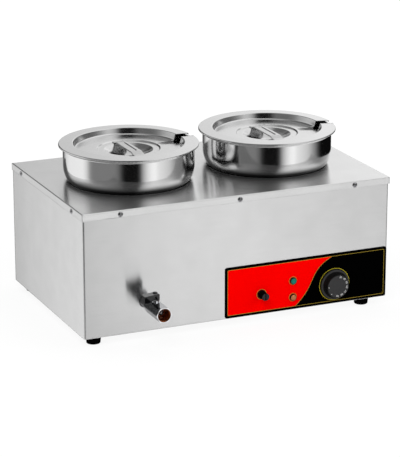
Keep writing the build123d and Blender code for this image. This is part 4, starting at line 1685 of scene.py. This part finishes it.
@dataclass
class DrainTap:
    """Hexagon ball valve on its threaded neck, with a quarter-turn lever.

    Heights run along the tap from the hexagon's back end to its mouth.

    Attributes:
        x: of the tap's axis.
        z: of the tap's axis.
        back: Y of the hexagon's back end.
        length: of the hexagon.
        flats: half its width across flats.
        corner_power: power of the mean that rounds its corners.
        back_cone: radius of the cone that cuts its back corners, and its growth.
        mouth_cone: the same for its mouth.
        end_spans: length of the finely divided ends, and the plain part's ways from either end.
        inside: radius and height of the corners inside.
        boss: height of the stem's axis.
        boss_line: radius, height and rounding of the stem boss's corners.
        bore: radius of the threaded mouth.
        sleeve: outer radius of the mouth's thread.
        sleeve_start: height where the mouth's thread starts.
        mouth_lip: how far it stays inside the mouth.
        mouth_flare: how far it widens at the mouth, and over what length.
        pitch: of the threads.
        mouth_depth: depth of the mouth's thread.
        run_in: height over which it rises from the start.
        neck: radius of the neck.
        neck_depth: depth of the neck's thread.
        neck_length: of the neck behind the hexagon.
        neck_line: radius and height of the neck's corners inside the hexagon.
        stem: Y of the stem.
        flat_bearings: bearings of three flats from +X, in degrees.
        hexagon_rows: rows of each finely divided end and of the plain part.
        hexagon_columns: points round the hexagon.
        thread_rows: rows of the mouth's and of the neck's thread.
        thread_columns: points round the threads.
    """

    x: float = -167.5
    z: float = 66.8
    back: float = -162.5
    length: float = 56.0
    flats: float = 12.0
    corner_power: int = 24
    back_cone: Pair = (11.6, 1.7)
    mouth_cone: Pair = (13.6, 1.2)
    end_spans: XYZ = (3.0, 4.0, 3.5)
    inside: tuple[Pair, ...] = (
        (11.5, 56.0), (11.3, 56.0), (11.3, 40.0), (5.0, 40.0), (5.0, 28.0), (8.8, 28.0),
        (8.8, 0.0),
    )
    boss: float = 18.0
    boss_line: Line = ((3.05, 10.0, 0.0), (6.5, 10.0, 0.0), (6.5, 14.2, 0.5), (3.05, 14.2, 0.0))
    bore: float = 9.3
    sleeve: float = 11.25
    sleeve_start: float = 40.3
    mouth_lip: float = 0.4
    mouth_flare: Pair = (1.7, 2.4)
    pitch: float = 1.8
    mouth_depth: float = 0.5
    run_in: float = 42.0
    neck: float = 10.4
    neck_depth: float = 0.6
    neck_length: float = 59.0
    neck_line: tuple[Pair, ...] = ((5.0, 18.0), (8.75, 18.0), (8.75, 0.0))
    stem: float = -180.5
    flat_bearings: XYZ = (30.0, 90.0, 150.0)
    hexagon_rows: Counts = (13, 12)
    hexagon_columns: int = 240
    thread_rows: Counts = (110, 200)
    thread_columns: int = 96

    def build(self) -> None:
        """Add the valve, neck and lever, and dress the parts inside."""
        for name, skin, finish, slot, nodes, sharp in (
            ("hexagon_valve", self.valve(), CHROME, "chrome", ("tap_body",), 28.0),
            ("mouth_thread", self.mouth(), MOUTH_BROWN, "brass", (), 60.0),
            ("threaded_neck", self.nipple(), PLATED, "brass", ("tap_neck",), 60.0),
        ):
            placed = skin.placed((self.x, self.back, self.z), Facing.FRONT)
            add_piece(name, placed, finish, "cabinet", nodes, sharp=sharp)
        TapLever(self.x, self.stem).build()
        dress(CHROME, "tap_ball")
        dress(BRASS, "tap_stem")
        dress(SEAL, "tap_seats")

    def ridges(self, height: np.ndarray, angle: np.ndarray) -> np.ndarray:
        """Thread's wave: from 0 to 1 and back along each pitch, a pitch further each turn."""
        return np.abs(((height / self.pitch - angle / TURN) % 1.0) * 2.0 - 1.0)

    def valve(self) -> Skin:
        """Shape the hexagon from its back end to its mouth, and its boss.

        The radius at a bearing is the half width over a high-power mean of the three cosines to
        the flats, which rounds the corners a little; near each end a cone cuts the corners.

        Returns:
            The valve body, closed.
        """
        angle = round_angles(self.hexagon_columns)
        normals = np.radians(self.flat_bearings)[:, None]
        power = self.corner_power
        mean = (np.abs(np.cos(angle - normals)) ** power).sum(axis=0) ** (1 / power)
        fine, start, end = self.end_spans
        end_count, plain_count = self.hexagon_rows
        first = np.linspace(0.0, fine, end_count)
        plain = np.linspace(start, self.length - end, plain_count)
        last = np.linspace(self.length - fine, self.length, end_count)
        step = np.concatenate([first, plain, last])[:, None]
        back = self.back_cone[0] + self.back_cone[1] * step
        mouth = self.mouth_cone[0] + self.mouth_cone[1] * (self.length - step)
        outer = np.minimum(self.flats / mean, np.minimum(back, mouth))
        inside = np.array(self.inside)
        rows = [polar(outer, angle, step), polar(inside[:, :1], angle, inside[:, 1:])]
        body = Skin.grid(np.concatenate(rows), closed_rows=True, closed_cols=True)
        boss = turned(rounded_line(self.boss_line, closed=True), 72, closed=True)
        upright = boss.points[:, [0, 2, 1]] * np.array([1.0, 1.0, -1.0])
        raised = Skin(upright + np.array([0.0, 0.0, self.boss]), boss.faces)
        return Skin.joined([body, raised])

    def mouth(self) -> Skin:
        """Line the mouth with its thread: a sleeve whose inner radius follows a helix of ridges.

        Returns:
            The thread, closed.
        """
        angle = round_angles(self.thread_columns)
        end = self.length - self.mouth_lip
        height = np.linspace(self.sleeve_start, end, self.thread_rows[0])[:, None]
        widen, run = self.mouth_flare
        flare = smooth(height, self.length - run, end)
        depth = self.mouth_depth * smooth(height, self.sleeve_start, self.run_in) * (1.0 - flare)
        inner = polar(self.bore + depth * self.ridges(height, angle) + widen * flare, angle, height)
        outer = polar(self.sleeve, angle, height)
        return Skin.grid(np.concatenate([inner, outer[::-1]]), closed_rows=True, closed_cols=True)

    def nipple(self) -> Skin:
        """Shape the neck from inside the valve to the tank's socket, with its outer thread.

        Returns:
            The neck, closed.
        """
        angle = round_angles(self.thread_columns)
        line = np.array(self.neck_line)
        height = np.linspace(0.0, -self.neck_length, self.thread_rows[1])[:, None]
        thread = self.neck - self.neck_depth * self.ridges(height, angle)
        rows = [
            polar(line[:, :1], angle, line[:, 1:]),
            polar(thread, angle, height),
            polar(line[0, 0], angle, -self.neck_length)[None],
        ]
        return Skin.grid(np.concatenate(rows), closed_rows=True, closed_cols=True)


@dataclass
class DialKnob:
    """Fluted thermostat knob with its figures, dots, and matt faces made lighter grey by painted
    light.

    Lines of corners give radius, height and rounding.

    Attributes:
        spot: middle of its seat on the plate.
        reach: how far its face stands off the plate.
        knob_line: corners of the knob.
        grip_low: heights between which the flutes start.
        grip_high: heights between which they end.
        grip_inner: radius inside which there are none.
        flutes: how many in half a turn.
        flute_depth: of the flutes.
        disc_line: corners of the matt face, lighter grey by painted light, from the knob's face.
        skirt_line: corners of the skirt's matt ring, lighter grey by painted light.
        numbers: the figures.
        number_turn: bearings of the first and the last figure from the top, in degrees.
        number_size: height of the figures.
        number_reach: radius of the figures.
        mark_depth: how far the figures and dots stand up.
        mark_lift: how far their middle lies off the knob's face.
        dot: radius of a dot.
        dot_reach: radius of the dots.
        dot_turns: bearings of the dots from +X, in degrees.
        columns: points round the knob.
    """

    spot: XYZ
    reach: float = 15.0
    knob_line: Line = (
        (0.0, 12.0, 0.0), (3.05, 12.0, 0.0), (3.05, 6.0, 0.0), (12.0, 6.0, 0.0), (12.0, 0.5, 0.0),
        (26.6, 0.5, 0.4), (26.6, 3.2, 0.9), (22.3, 4.4, 0.6), (20.2, 15.0, 0.9), (0.0, 15.0, 0.0),
    )
    grip_low: Pair = (4.8, 6.0)
    grip_high: Pair = (13.0, 14.4)
    grip_inner: float = 17.0
    flutes: float = 20.0
    flute_depth: float = 0.45
    disc_line: Line = ((0.0, -0.2, 0.0), (19.1, -0.2, 0.0), (19.1, 0.1, 0.08), (0.0, 0.1, 0.0))
    skirt_line: Line = ((23.0, 4.0, 0.0), (25.9, 3.2, 0.0), (25.9, 3.5, 0.08), (23.0, 4.3, 0.08))
    numbers: tuple[int, ...] = (30, 40, 50, 60, 70, 80, 90)
    number_turn: Pair = (14.0, 184.0)
    number_size: float = 4.9
    number_reach: float = 16.3
    mark_depth: float = 0.12
    mark_lift: float = 0.13
    dot: float = 0.8
    dot_reach: float = 17.3
    dot_turns: Pair = (180.0, 225.0)
    columns: int = 240

    def build(self) -> None:
        """Add the knob, its matt faces made lighter grey by painted light, and its marks."""
        disc = rounded_line([(r, self.reach + z, turn) for r, z, turn in self.disc_line])
        skirt = rounded_line(self.skirt_line, closed=True)
        # matt faces, lighter grey by painted light
        matt = Skin.joined([turned(disc), turned(skirt, closed=True)])
        marks = self.marks().placed((0.0, 0.0, self.reach + self.mark_lift))
        for name, skin, finish, nodes in (
            ("fluted_knob", self.grip(), GRIP_MOULD, ("thermostat_knob",)),
            ("matt_painted_light_knob_faces", matt, KNOB_MOULD, ()),
            ("knob_figures", marks, INK_WHITE, ()),
        ):
            placed = skin.placed(self.spot, Facing.FRONT)
            add_piece(name, placed, finish, "dial", nodes)

    def grip(self) -> Skin:
        """Turn the knob; its flutes take a squared cosine off the grip's radius.

        Returns:
            The knob.
        """
        profile = finer(rounded_line(self.knob_line), 4)
        radius, height = profile[:, :1], profile[:, 1:]
        grip = smooth(height, *self.grip_low) * (1.0 - smooth(height, *self.grip_high))
        wave = np.cos(self.flutes * round_angles(self.columns)) ** 2
        relief = -self.flute_depth * grip * (radius > self.grip_inner) * wave
        return turned(profile, self.columns, relief=relief)

    def marks(self) -> Skin:
        """Set the figures and dots round the knob's face.

        Returns:
            The marks, looking along +Z about the origin.
        """
        skins = []
        for number, bearing in zip(self.numbers, np.linspace(*self.number_turn, len(self.numbers))):
            figure = numeral(str(number), self.number_size, self.mark_depth)
            turn = math.radians(-bearing)
            across, along = math.cos(turn), math.sin(turn)
            spin = np.array([(across, along, 0.0), (-along, across, 0.0), (0.0, 0.0, 1.0)])
            figure.points = (figure.points + np.array([0.0, self.number_reach, 0.0])) @ spin
            skins.append(figure)
        half = self.mark_depth / 2
        line = [(0.0, -half, 0.0), (self.dot, -half, 0.0), (self.dot, half, 0.0), (0.0, half, 0.0)]
        dot = turned(rounded_line(line), 32)
        for spot in polar(self.dot_reach, np.radians(self.dot_turns), 0.0):
            skins.append(dot.placed(tuple(spot)))
        return Skin.joined(skins)


@dataclass
class FuseCap:
    """Fuse cap with a plug behind and a screwdriver slot across its face.

    Attributes:
        spot: middle of its seat on the plate.
        radius: of its barrel.
        reach: how far its face stands off the plate.
        slot: half width of the slot.
        slope: half the run of the slot's flanks.
        sink: depth of the slot.
        first: angle of the first line past the slot.
        flutes: how many in half a turn.
        flute_depth: of the flutes.
        flute_rows: heights where they start, end and have run out.
        plain: radius and height of the corners behind the flutes.
        land: share of the face's width that the lands, lighter grey by painted light, cover.
        land_lift: how far the lands stand off the face.
        land_sheet: their thickness.
        side_lines: lines of the face on either side of the slot.
        line_points: points along each.
    """

    spot: XYZ
    radius: float = 6.5
    reach: float = 17.0
    slot: float = 0.75
    slope: float = 0.05
    sink: float = 1.8
    first: float = 0.17
    flutes: float = 12.0
    flute_depth: float = 0.3
    flute_rows: XYZ = (3.9, 13.6, 14.4)
    plain: tuple[Pair, ...] = (
        (2.55, -0.5), (2.55, -5.5), (4.5, -5.5), (4.5, 2.8), (6.5, 2.8), (6.5, 3.3)
    )
    land: float = 0.97
    land_lift: float = 0.06
    land_sheet: float = 0.05
    side_lines: int = 14
    line_points: int = 25

    def build(self) -> None:
        """Shape the cap and lay its lands, a lighter grey of painted light on its face.

        The face is a grid of upright lines over the disc, sunk between the slot's edges; the
        barrel's columns stand at the angles where those lines meet the rim.
        """
        sides = self.radius * np.sin(np.linspace(self.first, TURN / 4, self.side_lines))
        steps = np.concatenate([[self.slot - self.slope, self.slot + self.slope], sides])
        line = np.unique(np.concatenate([-steps, steps, [0.0]]))
        depth = np.where(np.abs(line) < self.slot, self.sink, 0.0)
        plug = turned(np.array([[0.0, self.plain[0][1]], self.plain[0]]), 48)
        cap = Skin.joined([self.lines(line, self.reach - depth), self.barrel(line, depth), plug])
        right = self.lines(line[line > self.slot], self.reach + self.land_lift, self.land, -1)
        left = Skin(right.points * np.array([-1.0, -1.0, 1.0]), right.faces)
        lands = Skin.joined([right, left])
        body, slot = "fuse_twist", "black_plastic"
        cap = cap.placed(self.spot, Facing.FRONT)
        add_piece("slotted_fuse_cap", cap, BARREL_MOULD, body, ("fuse_cap",), sharp=30.0)
        lands = lands.placed(self.spot, Facing.FRONT)
        # lands: painted light on the cap's face
        add_piece("fuse_cap_painted_light_lands", lands, CAP_MOULD, body, sheet=self.land_sheet)

    def lines(
        self, line: np.ndarray, height: np.ndarray | float, share: float = 1.0, way: int = 1
    ) -> Skin:
        """Grid of upright lines over the disc, each as long as its chord.

        Args:
            line: places of the lines across the disc.
            height: of each line.
            share: of the chord that it covers.
            way: 1 for rows from the bottom up, -1 for rows from the top down.

        Returns:
            The grid.
        """
        chord = share * np.sqrt(np.maximum(self.radius**2 - line**2, 0.0))
        y = chord * np.linspace(-1.0, 1.0, self.line_points)[:, None]
        points = np.stack(np.broadcast_arrays(line, y, height), axis=-1)
        return Skin.grid(points[::way])

    def barrel(self, line: np.ndarray, depth: np.ndarray) -> Skin:
        """Carry the plug and the fluted barrel round, open at the slot's ends.

        Args:
            line: places of the face's lines.
            depth: how deep each lies.

        Returns:
            The barrel.
        """
        angle = np.arccos(line / self.radius)
        angle = np.concatenate([angle[::-1], -angle[1:-1]])
        drop = np.concatenate([depth[::-1], depth[1:-1]])
        even = np.zeros_like(angle)
        flute = self.radius - self.flute_depth * np.cos(self.flutes * angle) ** 2
        radii = [r + even for r, _ in self.plain] + [flute] * 2 + [self.radius + even] * 2
        tops = [z + even for _, z in self.plain] + [z + even for z in self.flute_rows]
        points = polar(np.array(radii), angle, np.array([*tops, self.reach - drop]))
        return Skin.grid(points, closed_cols=True)


@dataclass
class ControlPanel:
    """Printed control plate with its knob, lamps and fuse.

    Lines of corners give radius or place, height and rounding.

    Attributes:
        left: X of the plate's left edge.
        right: X of its right edge.
        low: Z of its lower edge.
        high: Z of its upper edge.
        face: Y of its face.
        border: width of the plain border.
        corner: rounding of the printed frame's corners.
        line: width of the printed lines.
        ring_lines: width of the rings round the lamps and the fuse, and round the knob.
        rings: radius of the rings round the lamps, the fuse and the knob.
        lift: how far the colour fields and the lines stand off the plate.
        film: thickness of the fields and of the lines.
        wave: factors of the rising powers that give X of the line between the colours.
        knob: X and Z of the knob.
        lamps: X, Z of the green lamp and Z of the amber lamp.
        fuse: X and Z of the fuse.
        barrel_line: corners of a lamp's barrel.
        lens_line: corners of a lamp's lens.
        facets: how many facets a lens has.
        facet_depth: how far they dip.
        facet_rows: heights between which they start.
        facet_reach: radius at which they have their depth.
        lens_columns: points round a lens.
        field_grid: points up a colour field and across it.
    """

    left: float = -26.3
    right: float = 273.7
    low: float = 15.8
    high: float = 103.8
    face: float = -141.5
    border: float = 4.6
    corner: float = 1.5
    line: float = 0.62
    ring_lines: Pair = (0.8, 0.9)
    rings: XYZ = (6.9, 8.6, 27.7)
    lift: Pair = (0.06, 0.13)
    film: Pair = (0.05, 0.06)
    wave: tuple[float, ...] = (97.2, 108.3, -54.4, -112.2, 143.4)
    knob: Pair = (175.6, 49.5)
    lamps: XYZ = (98.0, 65.8, 36.9)
    fuse: Pair = (40.0, 50.0)
    barrel_line: Line = ((4.9, 0.0, 0.0), (5.95, 0.0, 0.0), (5.7, 3.4, 0.5), (4.9, 3.4, 0.0))
    lens_line: Line = (
        (0.0, 0.0, 0.0), (4.85, 0.0, 0.0), (4.85, 3.5, 0.4), (3.4, 4.5, 0.6), (0.0, 4.6, 0.0)
    )
    facets: float = 8.0
    facet_depth: float = 0.5
    facet_rows: Pair = (3.5, 4.2)
    facet_reach: float = 5.0
    lens_columns: int = 128
    field_grid: Counts = (49, 41)

    def build(self) -> None:
        """Print the plate and add what stands on it."""
        dress(PLATE_BLACK, "control_panel")
        dress(BLACK_MOULD, "thermostat_body", "lamp_nuts", "green_lamp_body", "amber_lamp_body")
        dress(BLACK_MOULD, "fuse_holder_body", "fuse_holder_nut")
        dress(ZINC, "thermostat_nut", "thermostat_shaft")
        dress(FUSE_GLASS, "fuse_link")
        self.add_print()
        DialKnob((self.knob[0], self.face, self.knob[1])).build()
        self.add_lenses()
        FuseCap((self.fuse[0], self.face, self.fuse[1])).build()

    def seam(self, z: np.ndarray) -> np.ndarray:
        """X of the line between the two colours: a sum of powers of the share of height."""
        share = (z - self.low) / (self.high - self.low)
        return sum(c * share**n for n, c in enumerate(self.wave))

    def ring(self, spot: Pair, radius: float, width: float, columns: int = 96) -> Skin:
        """Printed ring about a place on the plate."""
        path = polar(radius, round_angles(columns), 0.0)[:, :2]
        return ribbon(path + np.array(spot), width, closed=True)

    def add_print(self) -> None:
        """Lay the two colour fields, the frame line, the dividing line and the rings."""
        x0, x1 = self.left + self.border, self.right - self.border
        z0, z1 = self.low + self.border, self.high - self.border
        up, across = self.field_grid
        z = (z0 + np.linspace(0.0, 1.0, up) * (z1 - z0))[:, None]
        seam = self.seam(z)
        for name, finish, start, end in (
            ("red_field", INK_RED, x0, seam),
            ("black_field", PLATE_BLACK, seam, x1),
        ):
            x = start + np.linspace(0.0, 1.0, across)[None, :] * (end - start)
            flat = np.stack([x, z + np.zeros_like(x), np.zeros_like(x)], axis=-1)
            skin = Skin.grid(flat).placed((0.0, self.face - self.lift[0], 0.0), Facing.FRONT)
            add_piece(name, skin, finish, "cabinet", sheet=self.film[0])
        corners = [(x, z, self.corner) for x, z in ((x0, z0), (x1, z0), (x1, z1), (x0, z1))]
        outline = rounded_line(corners, closed=True)
        lamp_x, green, amber = self.lamps
        lamp_ring, fuse_ring, knob_ring = self.rings
        thin, bold = self.ring_lines
        gold = Skin.joined([
            ribbon(outline, self.line, closed=True),
            ribbon(np.column_stack([seam, z]), self.line),
            self.ring((lamp_x, green), lamp_ring, thin),
            self.ring((lamp_x, amber), lamp_ring, thin),
            self.ring(self.fuse, fuse_ring, thin),
        ])
        yellow = self.ring(self.knob, knob_ring, bold, columns=160)
        for name, lines, finish in (
            ("gold_lines", gold, INK_GOLD),
            ("yellow_ring", yellow, INK_YELLOW),
        ):
            laid = lines.placed((0.0, self.face - self.lift[1], 0.0), Facing.FRONT)
            laid.faces = laid.faces[:, ::-1]
            add_piece(name, laid, finish, "cabinet", sheet=self.film[1])

    def add_lenses(self) -> None:
        """Turn the lamps: a black barrel, and in it a cut lens whose radius dips at its facets."""
        barrel = turned(rounded_line(self.barrel_line, closed=True), 96, closed=True)
        profile = finer(rounded_line(self.lens_line), 3)
        angle = round_angles(self.lens_columns)
        facet = np.abs((angle * self.facets / TURN) % 1.0 - 0.5) * 2.0
        cut = smooth(profile[:, 1:], *self.facet_rows) * profile[:, :1] / self.facet_reach
        relief = -self.facet_depth * cut * (1.0 - facet) ** 2
        lens = turned(profile, self.lens_columns, relief=relief)
        x, green, amber = self.lamps
        barrels = []
        for colour, z, finish in (("green", green, GREEN_LENS), ("amber", amber, AMBER_LENS)):
            spot = (x, self.face, z)
            barrels.append(barrel.placed(spot, Facing.FRONT))
            add_piece(
                f"{colour}_cut_lens", lens.placed(spot, Facing.FRONT), finish, "cabinet",
                (f"{colour}_lamp_lens",), sharp=20.0,
            )
        add_piece("lamp_barrels", Skin.joined(barrels), GRIP_MOULD, "cabinet")


@dataclass
class MainsInlet:
    """Cable gland in the rear panel and the terminal block inside.

    Attributes:
        spot: middle of the seat where the dome nut starts.
        nut_line: radius, height and rounding of the nut's corners.
        rib_low: heights between which its grooves start.
        rib_high: heights between which they end.
        rib_inner: radius inside which there are none.
        ribs: how many in half a turn.
        rib_depth: depth of the grooves between them.
        columns: points round the nut.
    """

    spot: XYZ = (200.0, 200.5, 51.0)
    nut_line: Line = (
        (8.65, 0.0, 0.0), (11.8, 0.0, 0.5), (11.8, 12.0, 2.5), (8.0, 18.0, 1.2), (5.0, 18.0, 0.5),
        (5.0, 9.3, 0.0), (8.65, 9.3, 0.0),
    )
    rib_low: Pair = (0.8, 1.6)
    rib_high: Pair = (9.0, 11.0)
    rib_inner: float = 10.0
    ribs: float = 8.0
    rib_depth: float = 0.5
    columns: int = 192

    def build(self) -> None:
        """Dress the gland and add its dome nut, ribbed by a fourth power of a cosine."""
        dress(BLACK_MOULD, "cable_gland_body", "cable_gland_locknut")
        dress(WHITE_MOULD, "terminal_block")
        profile = rounded_line(self.nut_line, closed=True)
        radius, height = profile[:, :1], profile[:, 1:]
        ribs = smooth(height, *self.rib_low) * (1.0 - smooth(height, *self.rib_high))
        wave = np.cos(self.ribs * round_angles(self.columns)) ** 4
        relief = -self.rib_depth * ribs * (radius > self.rib_inner) * wave
        nut = turned(profile, self.columns, closed=True, relief=relief)
        nut = nut.placed(self.spot, Facing.BACK)
        slot, nodes = "black_plastic", ("cable_gland_nut",)
        add_piece("ribbed_gland_nut", nut, BLACK_MOULD, "cabinet", nodes)


def main() -> None:
    """Set the stage and build each sub-assembly in order."""
    logging.basicConfig(level=logging.INFO, format="%(name)s: %(message)s")
    Studio().build()
    Casing().build()
    WaterBath().build()
    PotSet(Side.LEFT, (-127.5, 27.0), 3.5).build()
    PotSet(Side.RIGHT, (127.5, 27.0), -6.5).build()
    DrainTap().build()
    ControlPanel().build()
    MainsInlet().build()


if __name__ == "__main__":
    main()
